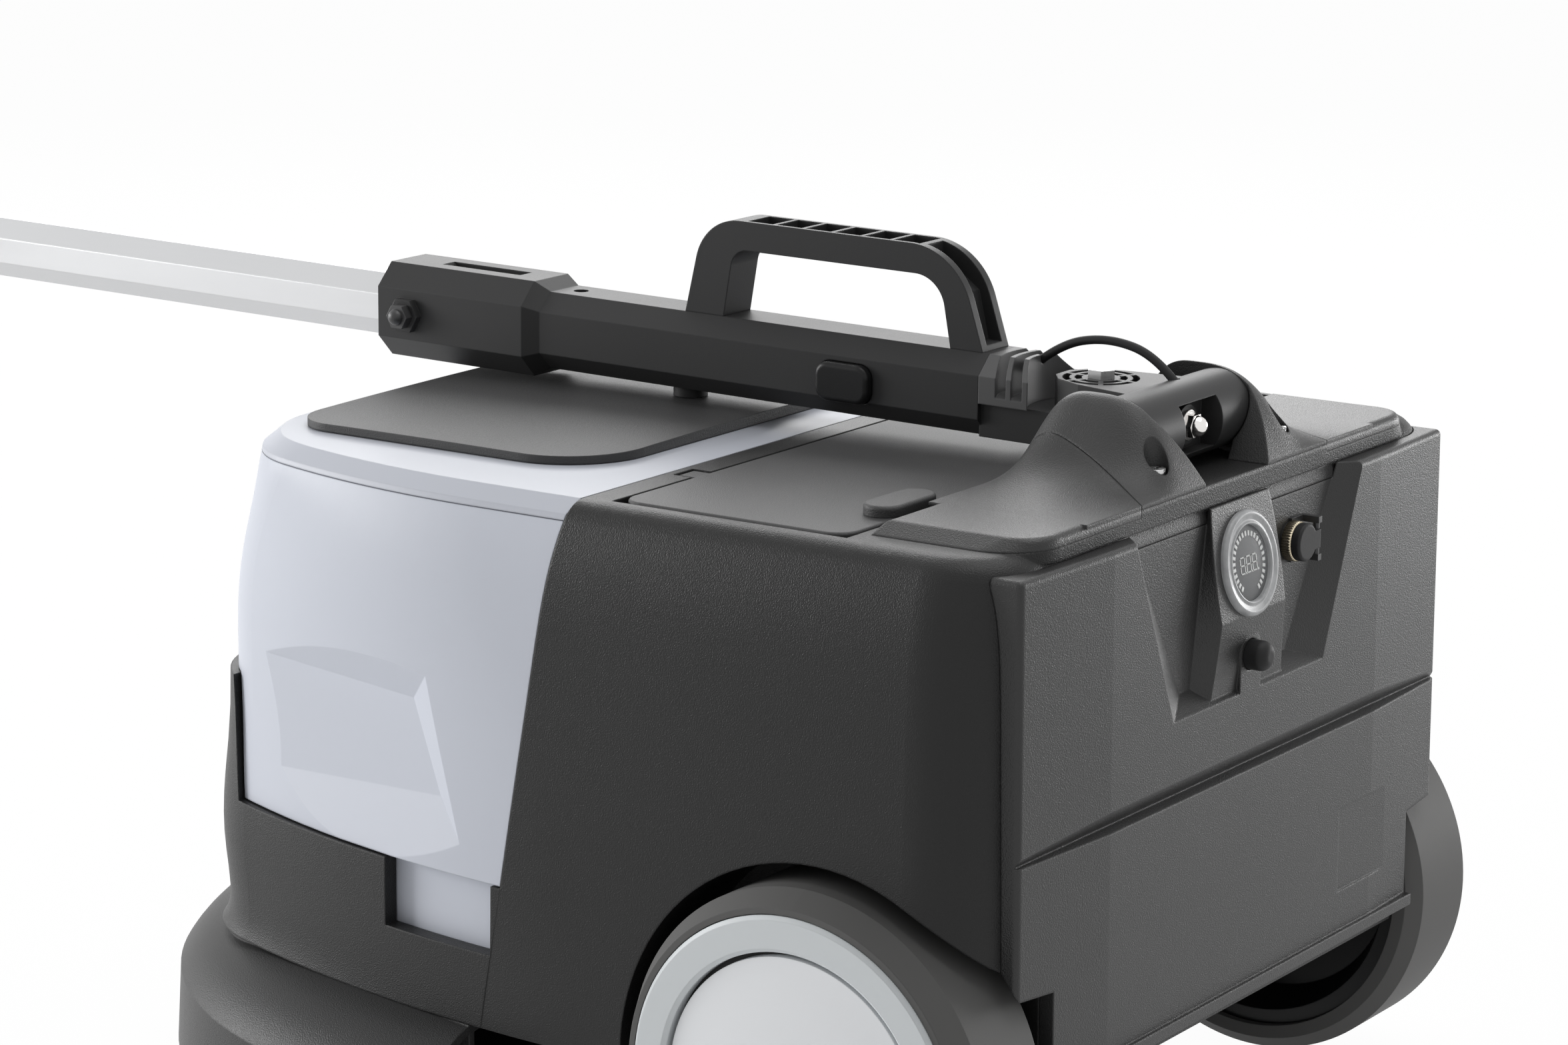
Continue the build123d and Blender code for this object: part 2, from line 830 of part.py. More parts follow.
with BuildPart() as rear_cover:
    pad_plan = [
        (-cover_half, hull_rear_y - pad_step),
        (-cover_half, pad_y - crease_drop),
        (-crease_x, pad_y),
        (crease_x, pad_y),
        (cover_half, pad_y - crease_drop),
        (cover_half, hull_rear_y - pad_step),
    ]
    prism(Plane.XY.offset(cover_low_z), pad_plan, cover_top_z - cover_low_z)
    outer_corners = rear_cover.edges().filter_by(Axis.Z).group_by(Axis.Y)[1]
    fillet(outer_corners, pad_round)
    fillet(rear_cover.faces().sort_by(Axis.Z)[-1].edges().group_by(Axis.Y)[1:], pad_round)
    hull(mode=Mode.SUBTRACT)
    loft(
        [
            rear_trapezoid(hull_rear_y, vee_floor_half, vee_floor_z, cover_top_z + 1),
            rear_trapezoid(pad_y + 0.01, vee_edge_half, vee_edge_z, cover_top_z + 1),
        ],
        ruled=True,
        mode=Mode.SUBTRACT,
    )
    groove = [
        (pad_y, groove_z + groove_height),
        (pad_y - groove_depth, groove_z),
        (pad_y, groove_z - groove_lip),
        (pad_y + pad_step, groove_z - groove_lip),
        (pad_y + pad_step, groove_z + groove_height),
    ]
    prism(Plane.YZ, groove, 2 * cover_half, both=True, mode=Mode.SUBTRACT)
    box_between(
        (-opening_half + face_gap, hull_rear_y - shell_wall, opening_low_z + face_gap),
        (opening_half - face_gap, hull_rear_y, opening_top_z - face_gap),
    )
    add(gauge_boss.part)
    # holes for gauge, push button and socket
    with Locations(gauge_plane):
        Cylinder(gauge_body_radius + face_gap, 80, mode=Mode.SUBTRACT)
    with Locations(breaker_plane):
        Cylinder(boot_radius + face_gap, 80, mode=Mode.SUBTRACT)
    with Locations(socket_plane):
        Cylinder(socket_bore + face_gap, 40, mode=Mode.SUBTRACT)
    # bare label recess and bottom lip
    box_between(
        (label_x - label_width / 2, pad_y - label_depth, label_z - label_height / 2),
        (label_x + label_width / 2, pad_y + 5, label_z + label_height / 2),
        mode=Mode.SUBTRACT,
    )
    box_between(
        (-cover_half + pad_round, hull_rear_y, cover_low_z - lip_height),
        (cover_half - pad_round, pad_y + lip_proud, cover_low_z),
    )
    wheel_space(arch_radius, well_x)
finish(rear_cover, "rear_cover")

with BuildPart() as gauge_body:
    with Locations(gauge_plane):
        Cylinder(gauge_body_radius, gauge_depth, align=(Align.CENTER, Align.CENTER, Align.MAX))
finish(gauge_body, "gauge_body")

with BuildPart() as gauge_bezel:
    with Locations(gauge_plane):
        Cylinder(gauge_radius, gauge_rim, align=(Align.CENTER, Align.CENTER, Align.MIN))
        Cylinder(gauge_window, 4 * gauge_rim, mode=Mode.SUBTRACT)
    fillet(gauge_bezel.edges().filter_by(GeomType.CIRCLE).group_by(Axis.Y)[-1], gauge_rim / 3)
finish(gauge_bezel, "gauge_bezel")

with BuildPart() as gauge_lens:
    with Locations(gauge_plane):
        Cylinder(gauge_window - running_gap, gauge_rim / 2, align=(Align.CENTER, Align.CENTER, Align.MIN))
finish(gauge_lens, "gauge_lens")

# Dust cap that swings aside on a hinge beside the socket.
cap_hinge_x = socket_x - socket_radius - cap_hinge_gap
cap_low_y = hull_rear_y + socket_proud + face_gap
cap_arm = socket_radius - 3 * cap_pin_radius
with BuildPart() as charge_socket:
    with Locations(socket_plane):
        Cylinder(socket_radius, socket_proud, align=(Align.CENTER, Align.CENTER, Align.MIN))
    box_between(
        (cap_hinge_x - cap_pin_radius, hull_rear_y, socket_z - socket_radius - cap_pin_radius),
        (socket_x, hull_rear_y + socket_foot, socket_z + socket_radius + cap_pin_radius),
    )
    for side in (1, -1):
        lug_z = socket_z + side * socket_radius
        box_between(
            (cap_hinge_x - cap_pin_radius, hull_rear_y, lug_z - cap_pin_radius),
            (cap_hinge_x + cap_pin_radius, cap_low_y + cap_thick, lug_z + cap_pin_radius),
        )
    with Locations((cap_hinge_x, cap_low_y + cap_thick / 2, socket_z)):
        Cylinder(cap_pin_radius, 2 * socket_radius)
    with Locations(socket_plane):
        Cylinder(socket_bore, 3 * shell_wall, align=(Align.CENTER, Align.CENTER, Align.MAX))
        Cylinder(socket_bore / 2, 3 * socket_proud, mode=Mode.SUBTRACT)
finish(charge_socket, "charge_socket")

with BuildPart() as socket_cap:
    with Locations(socket_plane.offset(socket_proud + face_gap)):
        Cylinder(socket_radius, cap_thick, align=(Align.CENTER, Align.CENTER, Align.MIN))
    fillet(socket_cap.edges().filter_by(GeomType.CIRCLE).group_by(Axis.Y)[-1], cap_thick / 3)
    box_between(
        (cap_hinge_x, cap_low_y, socket_z - cap_arm),
        (socket_x, cap_low_y + cap_thick, socket_z + cap_arm),
    )
    with Locations((cap_hinge_x, cap_low_y + cap_thick / 2, socket_z)):
        Cylinder(cap_thick / 2, 2 * cap_arm)
        Cylinder(cap_pin_radius + running_gap, 3 * socket_radius, mode=Mode.SUBTRACT)
finish(socket_cap, "socket_cap")

with BuildPart() as breaker_button:
    with Locations(breaker_plane.offset(boot_proud)):
        Cylinder(boot_radius, boot_proud + pad_step, align=(Align.CENTER, Align.CENTER, Align.MAX))
    fillet(breaker_button.edges().filter_by(GeomType.CIRCLE).group_by(Axis.Y)[-1], boot_radius * 0.7)
finish(breaker_button, "breaker_button")

print("tank and lids")
with BuildPart() as tank_lower:
    hull(-tank_side_inset, -post_recess - tank_gap, 0)
    keep_between(tank_floor_z, cradle_side_z + 2 * tank_gap)
    beyond_seam(-tank_gap, 0, 600, 600)

with BuildPart() as tank_hollow:
    hull(-tank_wall, -tank_wall, 0)
    keep_between(tank_floor_z + tank_wall / 2, deck_z)
    beyond_seam(-tank_wall, 0, 600, 600)
    with Locations((0, 0, 0)):
        motor_space_top = motor_top_z + motor_room + tank_wall / 2
        Cylinder(motor_bay_radius + tank_wall / 2, 2 * motor_space_top, mode=Mode.SUBTRACT)


# A point of the tank's left side near the scoop, or one sunk below it.
def on_side(place, depth=0.0):
    y, z = place
    half, bend_y, curve = hull_row(z)[1:4]
    return Vector(half - curve + sqrt(curve**2 - (bend_y - y) ** 2) - tank_gap - depth, y, z)


# The scoop in the left side: a sunk floor that runs out in front, and flat facets above, behind and below it.
with BuildPart() as scoop:
    crest = on_side(scoop_crest)
    tip = on_side(scoop_tip)
    floor_high = on_side(scoop_floor_high, scoop_depth)
    floor_low = on_side(scoop_floor_low, scoop_low_depth)
    facets = [
        (floor_high, floor_low, on_side(scoop_flush)),
        (crest, tip, floor_high),
        (on_side(scoop_front_high), crest, floor_high),
        (tip, on_side(scoop_front_low), floor_low),
    ]
    box_between((150, -180, 150), (300, 80, 300))
    kept = on_side(scoop_floor_high, -scoop_depth)
    for first, second, third in facets:
        across = (second - first).cross(third - first).normalized()
        outward = across if across.dot(kept - first) > 0 else across * -1
        split(bisect_by=Plane(first, x_dir=second - first, z_dir=outward), keep=Keep.TOP)

with BuildPart() as front_tank:
    hull(-tank_gap, 0, 0)
    keep_between(cradle_side_z + tank_gap, cap_seam_z - face_gap)
    beyond_seam(-tank_gap, 0, 600, 600)
    add(post_room.part, mode=Mode.SUBTRACT)
    add(tank_lower.part)
    add(tank_hollow.part, mode=Mode.SUBTRACT)
    Cylinder(motor_bay_radius, 2 * (motor_top_z + motor_room), mode=Mode.SUBTRACT)
    add(scoop.part, mode=Mode.SUBTRACT)
    add(mirror(scoop.part, Plane.YZ, mode=Mode.PRIVATE), mode=Mode.SUBTRACT)
finish(front_tank, "front_tank")


# Outline of the tank lid, drawn in by an inset.
def lid_face(level, inset):
    half = lid_half - inset
    corners = [
        (-half, lid_front_y + inset),
        (half, lid_front_y + inset),
        (half, lid_rear_y - inset),
        (-half, lid_rear_y - inset),
    ]
    with BuildSketch(Plane.XY.offset(level)) as outline:
        with BuildLine():
            Polyline(*corners, close=True)
        make_face()
        fillet(outline.vertices().group_by(Axis.Y)[0], lid_front_corner - inset)
        fillet(outline.vertices().group_by(Axis.Y)[-1], lid_rear_corner - inset)
    return outline.sketch


with BuildPart() as tank_cap:
    hull(-tank_gap, 0, 0)
    chamfer(tank_cap.edges().group_by(Axis.Z)[-1], cap_bevel)
    keep_between(cap_seam_z, deck_z)
    beyond_seam(-tank_gap, 0, 600, 600)
    extrude(lid_face(cap_seam_z - 1, lid_lap), amount=2 * (deck_z - cap_seam_z), mode=Mode.SUBTRACT)
finish(tank_cap, "tank_cap")

lid_low_z = deck_z + lid_seat
lid_top_z = lid_low_z + lid_edge + lid_crown
with BuildPart() as tank_lid:
    extrude(lid_face(lid_low_z, 0), amount=lid_edge + lid_crown)
    crown_radius = (lid_crown_run**2 + lid_crown**2) / (2 * lid_crown)
    with Locations((0, (lid_front_y + lid_rear_y) / 2, lid_top_z - crown_radius)):
        Sphere(crown_radius, mode=Mode.INTERSECT)
finish(tank_lid, "tank_lid")

with BuildPart() as lid_seal:
    seal_inset = lid_lap + seal_gap
    extrude(lid_face(lid_low_z - seal_depth, seal_inset), amount=seal_depth)
    seal_inner = lid_face(lid_low_z - seal_depth, seal_inset + seal_width)
    extrude(seal_inner, amount=seal_depth, mode=Mode.SUBTRACT)
finish(lid_seal, "lid_seal")

service_low_z = seat_z + face_gap
with BuildPart() as service_lid:
    with BuildSketch(Plane.XY.offset(service_low_z)) as lid_plan:
        with Locations((0, (service_front_y + service_rear_y) / 2)):
            RectangleRounded(2 * service_half, service_rear_y - service_front_y, service_corner)
    extrude(lid_plan.sketch, amount=service_thick)
    fillet(service_lid.faces().sort_by(Axis.Z)[-1].edges(), service_thick / 4)
    for side in (1, -1):
        tab_half = hinge_tab_width / 2
        box_between(
            (side * service_hinge_x - tab_half, service_front_y - hinge_tab_run, service_low_z),
            (side * service_hinge_x + tab_half, service_front_y + 1, service_low_z + service_thick - 1),
        )
finish(service_lid, "service_lid")

with BuildPart() as lift_tab:
    tab_low_z = service_low_z + service_thick
    with BuildSketch(Plane.XY.offset(tab_low_z)) as tab_plan:
        with Locations((tab_x, service_rear_y - tab_width / 2)):
            SlotOverall(tab_length, tab_width)
    extrude(tab_plan.sketch, amount=tab_thick)
    fillet(lift_tab.faces().sort_by(Axis.Z)[-1].edges(), tab_thick / 3)
finish(lift_tab, "lift_tab")

print("handle")
incline = sqrt(1 + handle_slope**2)
handle_dir = Vector(0, -1 / incline, handle_slope / incline)
handle_up = Vector(0, handle_slope / incline, 1 / incline)
handle_start = Vector(0, handle_y, handle_z)
fold_shift = Vector(0, fold_y, fold_z) - handle_start
axis_u = fold_shift.dot(handle_dir)
axis_v = fold_shift.dot(handle_up)


# A point given along (u), above (v) and across (x) the handle.
def handle_point(u, v, x=0.0):
    return handle_start + handle_dir * u + handle_up * v + Vector(x, 0, 0)


# A plane square to the handle, with its own y upwards.
def cross_plane(u):
    return Plane(handle_point(u, 0), x_dir=(1, 0, 0), z_dir=handle_dir)


# A plane level with the handle's top, drawn along (u) and across (x).
def top_plane(v):
    return Plane(handle_point(0, v), x_dir=handle_dir, z_dir=handle_up)


# The handle's middle plane, drawn along (u) and upwards (v); it looks to the right side.
side_plane = Plane(handle_start, x_dir=handle_dir, z_dir=(-1, 0, 0))


def octagon(u, half, side, high, flat):
    points = [
        (half, -side),
        (half, side),
        (flat, high),
        (-flat, high),
        (-half, side),
        (-half, -side),
        (-flat, -high),
        (flat, -high),
    ]
    with BuildSketch(cross_plane(u)) as outline:
        with BuildLine():
            Polyline(*points, close=True)
        make_face()
    return outline.sketch


def sleeve_section(u):
    return octagon(u, sleeve_half, sleeve_side, sleeve_high, sleeve_flat)


def collar_section(u):
    return octagon(u, collar_half, collar_side, collar_high, collar_flat)


def tube_section(u, across):
    flat = across * tan(radians(22.5))
    return octagon(u, across, flat, across, flat)


# A round bar along the handle's up direction, between two heights.
def upright(u, low, high, radius, mode=Mode.ADD):
    with BuildSketch(top_plane(low)) as disc:
        with Locations((u, 0)):
            Circle(radius)
    extrude(disc.sketch, amount=high - low, mode=mode)


# A round bar along X, between two distances from the middle plane.
def crossbar(u, v, low, high, radius, mode=Mode.ADD):
    with BuildSketch(side_plane.offset(-high)) as disc:
        with Locations((u, v)):
            Circle(radius)
    extrude(disc.sketch, amount=high - low, mode=mode)


def hexagon_upright(u, low, high, radius):
    with BuildSketch(top_plane(low)) as outline:
        with Locations((u, 0)):
            RegularPolygon(radius, 6)
    extrude(outline.sketch, amount=high - low)


def hexagon_cross(u, v, low, high, radius, mode=Mode.ADD):
    with BuildSketch(side_plane.offset(-high)) as outline:
        with Locations((u, v)):
            RegularPolygon(radius, 6)
    extrude(outline.sketch, amount=high - low, mode=mode)


# Control cable: an arch from the yoke over the swivel into the ribbed insert.
cable_points = [
    handle_point(10, 9, -10),
    handle_point(24, 26, -9),
    handle_point(52, 33, -7),
    handle_point(80, 26, -5),
    handle_point(97, 10, -4),
]
cable_runs = [(b - a).length for a, b in zip(cable_points, cable_points[1:])]
cable_radii = []
for before, here, after, run_in, run_out in zip(
    cable_points, cable_points[1:], cable_points[2:], cable_runs, cable_runs[1:]
):
    turn = (here - before).get_angle(after - here)
    cable_radii.append(0.45 * min(run_in, run_out) / tan(radians(turn / 2)))
print("cable radii", [round(r, 1) for r in cable_radii])


# A straight bore about the first or last run of the cable.
def cable_bore(start, end, radius):
    direction = (end - start).normalized()
    with BuildSketch(Plane(start - direction * cable_radius, z_dir=direction)) as disc:
        Circle(radius)
    extrude(disc.sketch, amount=(end - start).length + 2 * cable_radius, mode=Mode.SUBTRACT)


with BuildPart() as handle_cable:
    with BuildLine() as cable_line:
        FilletPolyline(*cable_points, radius=cable_radii)
    with BuildSketch(Plane(cable_line.line @ 0, z_dir=cable_line.line % 0)):
        Circle(cable_radius)
    sweep()
cable_length = cable_line.wire().length
print("cable length", round(cable_length, 1))
cable_section = pi * cable_radius**2
print("cable volume against its length", handle_cable.part.volume / (cable_section * cable_length))
finish(handle_cable, "handle_cable")

barrel_half = ear_inner_x - face_gap
window_u = axis_u - window_floor
nut_plane = Plane(handle_point(window_u, axis_v), x_dir=(1, 0, 0), z_dir=-handle_dir)
with BuildPart() as yoke:
    crossbar(axis_u, axis_v, -barrel_half, barrel_half, barrel_radius)
    arm_nose_u = swivel_u + swivel_radius
    arm_plan = [
        (axis_u, -arm_root_half),
        (swivel_u, -swivel_radius),
        (swivel_u + swivel_radius * 0.7, -swivel_radius * 0.7),
        (arm_nose_u, -swivel_radius * 0.3),
        (arm_nose_u, swivel_radius * 0.3),
        (swivel_u + swivel_radius * 0.7, swivel_radius * 0.7),
        (swivel_u, swivel_radius),
        (axis_u, arm_root_half),
    ]
    prism(top_plane(arm_low_v), arm_plan, arm_high_v - arm_low_v)
    # spoked pocket round the swivel bolt
    with BuildSketch(top_plane(arm_high_v - arm_pocket_depth)) as arm_pocket:
        with Locations((swivel_u, 0)):
            Circle(arm_pocket_radius)
            Circle(arm_hub_radius, mode=Mode.SUBTRACT)
        with Locations((swivel_u, 0)):
            for turn in (0, 60, 120):
                Rectangle(4 * arm_pocket_radius, spoke_width, rotation=turn, mode=Mode.SUBTRACT)
    with BuildSketch(top_plane(arm_high_v - arm_pocket_depth)) as arm_ring:
        with Locations((swivel_u, 0)):
            Circle(arm_ring_outer)
            Circle(arm_ring_inner, mode=Mode.SUBTRACT)
    extrude(arm_pocket.sketch, amount=2 * arm_pocket_depth, mode=Mode.SUBTRACT)
    extrude(arm_ring.sketch, amount=arm_pocket_depth)
    upright(swivel_u, arm_low_v - 1, arm_high_v + 1, bolt_radius + running_gap, mode=Mode.SUBTRACT)
    # window for the domed nut at the back, and the bores for pin and cable
    window = [
        (window_u, axis_v - window_high),
        (window_u, axis_v + window_high),
        (window_u - 2 * barrel_radius, axis_v + window_high),
        (window_u - 2 * barrel_radius, axis_v - window_high),
    ]
    prism(side_plane, window, window_half, both=True, mode=Mode.SUBTRACT)
    with BuildSketch(nut_plane) as nut_cup:
        Circle(cup_radius)
    extrude(nut_cup.sketch, amount=cup_high)
    barrel_end = barrel_half + 1
    crossbar(axis_u, axis_v, -barrel_end, barrel_end, pin_radius + running_gap, mode=Mode.SUBTRACT)
    cable_bore(cable_points[0], cable_points[1], cable_radius + cable_gap)
finish(yoke, "yoke")

with BuildPart() as dome_nut:
    with BuildSketch(nut_plane.offset(cup_high)) as nut_base:
        Circle(dome_washer_radius)
    extrude(nut_base.sketch, amount=dome_washer_thick)
    with BuildSketch(nut_plane.offset(cup_high)) as nut_flats:
        RegularPolygon(dome_radius + 1, 6)
    dome_rise = dome_washer_thick + dome_base
    extrude(nut_flats.sketch, amount=dome_rise)
    with Locations(handle_point(window_u - cup_high - dome_rise, axis_v)):
        Sphere(dome_radius)
finish(dome_nut, "dome_nut")

nut_top_v = tongue_low_v + bolt_nut_thick - face_gap
with BuildPart() as swivel_bolt:
    upright(swivel_u, nut_top_v, arm_high_v, bolt_radius)
    hexagon_upright(swivel_u, arm_high_v, arm_high_v + bolt_head_high, bolt_head_radius)
    hexagon_upright(swivel_u, tongue_low_v + face_gap, nut_top_v, bolt_nut_radius)
finish(swivel_bolt, "swivel_bolt")

insert_low_v = arm_low_v - face_gap
with BuildPart() as swivel_insert:
    extrude(sleeve_section(swivel_u), amount=sleeve_rear_u - swivel_u)
    box_low = [(0, -100), (sleeve_front_u, -100), (sleeve_front_u, insert_low_v), (0, insert_low_v)]
    prism(side_plane, box_low, 100, both=True, mode=Mode.SUBTRACT)
    upright(swivel_u, insert_low_v, 2 * sleeve_high, insert_reach, mode=Mode.SUBTRACT)
    # curved slots, concentric with the swivel bolt
    slot_inner = insert_reach + insert_rib
    while slot_inner + insert_slot + insert_rib < sleeve_rear_u - swivel_u:
        with BuildSketch(top_plane(insert_low_v + insert_wall)) as curved_slot:
            with Locations((swivel_u, 0)):
                Circle(slot_inner + insert_slot)
                Circle(slot_inner, mode=Mode.SUBTRACT)
        extrude(curved_slot.sketch, amount=2 * sleeve_high, mode=Mode.SUBTRACT)
        slot_inner += insert_slot + insert_rib
    cable_bore(cable_points[3], cable_points[4], cable_radius + cable_gap)
finish(swivel_insert, "swivel_insert")

collar_rear_u = sleeve_front_u + shoulder_run
tongue_radius = swivel_u - axis_u - barrel_radius - tongue_gap
with BuildPart() as handle_sleeve:
    extrude(sleeve_section(sleeve_rear_u), amount=sleeve_front_u - sleeve_rear_u)
    loft([sleeve_section(sleeve_front_u), collar_section(collar_rear_u)], ruled=True)
    extrude(collar_section(collar_rear_u), amount=collar_front_u - collar_rear_u)
    # tongue under the yoke arm
    with BuildSketch(top_plane(tongue_low_v)) as tongue_plan:
        with BuildLine():
            ThreePointArc(
                (swivel_u, tongue_radius),
                (swivel_u - tongue_radius, 0),
                (swivel_u, -tongue_radius),
            )
            Line((swivel_u, -tongue_radius), (sleeve_rear_u + 1, -tongue_radius))
            Line((sleeve_rear_u + 1, -tongue_radius), (sleeve_rear_u + 1, tongue_radius))
            Line((sleeve_rear_u + 1, tongue_radius), (swivel_u, tongue_radius))
        make_face()
    extrude(tongue_plan.sketch, amount=insert_low_v - tongue_low_v)
    upright(swivel_u, tongue_low_v - 1, insert_low_v + 1, bolt_radius + running_gap, mode=Mode.SUBTRACT)
    nut_top_v = tongue_low_v + bolt_nut_thick
    upright(swivel_u, tongue_low_v - 1, nut_top_v, bolt_nut_radius + 1, mode=Mode.SUBTRACT)
    # bore for the tube, top slot, screw recess and clamp
    extrude(
        tube_section(tube_rear_u, tube_flat / 2 + tube_gap),
        amount=collar_front_u - tube_rear_u + 1,
        mode=Mode.SUBTRACT,
    )
    slot_side = [
        (slot_rear_u, collar_high - slot_depth),
        (slot_front_u - slot_depth, collar_high - slot_depth),
        (slot_front_u, collar_high + 1),
        (slot_rear_u, collar_high + 1),
    ]
    prism(side_plane, slot_side, slot_half, both=True, mode=Mode.SUBTRACT)
    screw_low = sleeve_high - slot_depth / 2
    upright(sleeve_screw_u, screw_low, sleeve_high + 1, sleeve_screw_radius, mode=Mode.SUBTRACT)
    hexagon_cross(clamp_u, 0, tube_flat / 2 + tube_wall, collar_half + clamp_boss_high, clamp_boss_radius)
    crossbar(clamp_u, 0, -2 * collar_half, 2 * collar_half, clamp_radius + running_gap, mode=Mode.SUBTRACT)
    # recess of the release button in the left side
    button_low_x = sleeve_half - button_depth
    with BuildSketch(side_plane.offset(-sleeve_half - 1)) as button_recess:
        with Locations((button_u, button_v)):
            room = 2 * face_gap
            RectangleRounded(button_length + room, button_height + room, button_round + face_gap)
    extrude(button_recess.sketch, amount=button_depth + button_travel + 1.5, mode=Mode.SUBTRACT)
finish(handle_sleeve, "handle_sleeve")

with BuildPart() as release_button:
    with BuildSketch(side_plane.offset(-sleeve_half - button_proud)) as button_face:
        with Locations((button_u, button_v)):
            RectangleRounded(button_length, button_height, button_round)
    extrude(button_face.sketch, amount=button_proud + button_depth)
    fillet(release_button.faces().sort_by(Axis.X)[-1].edges(), button_proud / 2)
finish(release_button, "release_button")

with BuildPart() as handle_tube:
    extrude(tube_section(tube_rear_u, tube_flat / 2), amount=tube_front_u - tube_rear_u)
    extrude(
        tube_section(tube_rear_u, tube_flat / 2 - tube_wall),
        amount=tube_front_u - tube_rear_u,
        mode=Mode.SUBTRACT,
    )
    crossbar(clamp_u, 0, -tube_flat, tube_flat, clamp_radius + running_gap, mode=Mode.SUBTRACT)
finish(handle_tube, "handle_tube")

with BuildPart() as clamp_bolt:
    clamp_far_x = collar_half + clamp_boss_high
    crossbar(clamp_u, 0, -collar_half, clamp_far_x, clamp_radius)
    hexagon_cross(clamp_u, 0, -collar_half - clamp_head_high, -collar_half, clamp_head_radius)
    hexagon_cross(clamp_u, 0, clamp_far_x, clamp_far_x + clamp_head_high, clamp_head_radius)
    with Locations(handle_point(clamp_u, 0, clamp_far_x + clamp_head_high)):
        Sphere(clamp_dome_radius)
    crossbar(clamp_u, 0, clamp_radius, clamp_far_x, 2 * clamp_head_radius, mode=Mode.SUBTRACT)
    crossbar(clamp_u, 0, 0, clamp_far_x, clamp_radius)
finish(clamp_bolt, "clamp_bolt")

with BuildPart() as carry_handle:
    grip_outer = [
        (leg_front_u, sleeve_high),
        (leg_front_u - leg_front_lean, grip_top_v),
        (leg_rear_u + leg_rear_lean, grip_top_v),
        (leg_rear_u, sleeve_high),
    ]
    grip_inner = [
        (leg_front_u - leg_front_foot, sleeve_high - 1),
        (leg_front_u - leg_front_inset, grip_under_v),
        (leg_rear_u + leg_rear_inset, grip_under_v),
        (leg_rear_u + leg_rear_foot, sleeve_high - 1),
    ]
    with BuildSketch(side_plane) as grip_side:
        with BuildLine():
            Polyline(*grip_outer, close=True)
        make_face()
        fillet(grip_side.vertices().sort_by(Axis.Y)[-2:].sort_by(Axis.X)[-1], grip_front_round)
        left = grip_side.vertices().filter_by_position(Axis.Y, grip_top_v - 1, grip_top_v + 1)
        fillet(left.sort_by(Axis.X)[0], grip_rear_round)
    with BuildSketch(side_plane) as grip_gap:
        with BuildLine():
            Polyline(*grip_inner, close=True)
        make_face()
        fillet(grip_gap.vertices().sort_by(Axis.Y)[-2:].sort_by(Axis.X)[-1], gap_front_round)
        left = grip_gap.vertices().filter_by_position(Axis.Y, grip_under_v - 1, grip_under_v + 1)
        fillet(left.sort_by(Axis.X)[0], gap_rear_round)
    extrude(grip_side.sketch, amount=grip_half, both=True)
    extrude(grip_gap.sketch, amount=2 * grip_half, both=True, mode=Mode.SUBTRACT)
    # open cells along the top and a channel down the rear leg
    cell_pitch = (cells_front_u - cells_rear_u) / grip_cells
    for index in range(grip_cells):
        cell_start = cells_rear_u + index * cell_pitch
        cell = [
            (cell_start, grip_top_v - cell_depth),
            (cell_start + cell_pitch - cell_rib, grip_top_v - cell_depth),
            (cell_start + cell_pitch - cell_rib, grip_top_v + 5),
            (cell_start, grip_top_v + 5),
        ]
        prism(side_plane, cell, cell_half, both=True, mode=Mode.SUBTRACT)
    channel = [
        (leg_rear_u - 20, sleeve_high + 3),
        (leg_rear_u + 9, sleeve_high + 3),
        (leg_rear_u + 15, grip_under_v - 8),
        (leg_rear_u + 37, grip_top_v - 8),
        (leg_rear_u + 37, grip_top_v + 10),
        (leg_rear_u - 20, grip_top_v + 10),
    ]
    prism(side_plane, channel, channel_half, both=True, mode=Mode.SUBTRACT)
finish(carry_handle, "carry_handle")

foot_low_v = lid_top_z + foot_gap - handle_point(foot_u, 0).Z
with BuildPart() as rest_foot:
    upright(foot_u, foot_low_v, -sleeve_high, foot_radius)
finish(rest_foot, "rest_foot")

print("control head")
with BuildPart() as head_housing:
    with BuildSketch(side_plane) as head_side:
        with Locations(((head_rear_u + head_front_u) / 2, (head_low_v + head_high_v) / 2)):
            RectangleRounded(head_front_u - head_rear_u, head_high_v - head_low_v, head_round)
    extrude(head_side.sketch, amount=head_half, both=True)
    chamfer(head_housing.faces().filter_by(Axis.X).edges(), head_round / 4)
    extrude(
        tube_section(head_rear_u - 1, tube_flat / 2 + tube_gap),
        amount=tube_front_u - head_rear_u + 1 + tube_gap,
        mode=Mode.SUBTRACT,
    )
    crossbar(bar_u, bar_v, -bar_half, bar_half, bar_radius + running_gap, mode=Mode.SUBTRACT)
    power_floor = head_high_v - power_depth
    upright(power_u, power_floor, head_high_v + 5, power_radius + face_gap, mode=Mode.SUBTRACT)
    # pivots of the drive lever
    pivot_far_x = lever_arm_x + lever_arm_thick + face_gap
    for low, high in ((head_half - 1, pivot_far_x), (-pivot_far_x, 1 - head_half)):
        crossbar(lever_u, lever_v, low, high, lever_pin_radius)
    for low, high in ((pivot_far_x, pivot_far_x + 3), (-pivot_far_x - 3, -pivot_far_x)):
        crossbar(lever_u, lever_v, low, high, lever_pin_radius * 1.4)
finish(head_housing, "head_housing")

with BuildPart() as handle_bar:
    crossbar(bar_u, bar_v, -bar_half, bar_half, bar_radius)
finish(handle_bar, "handle_bar")

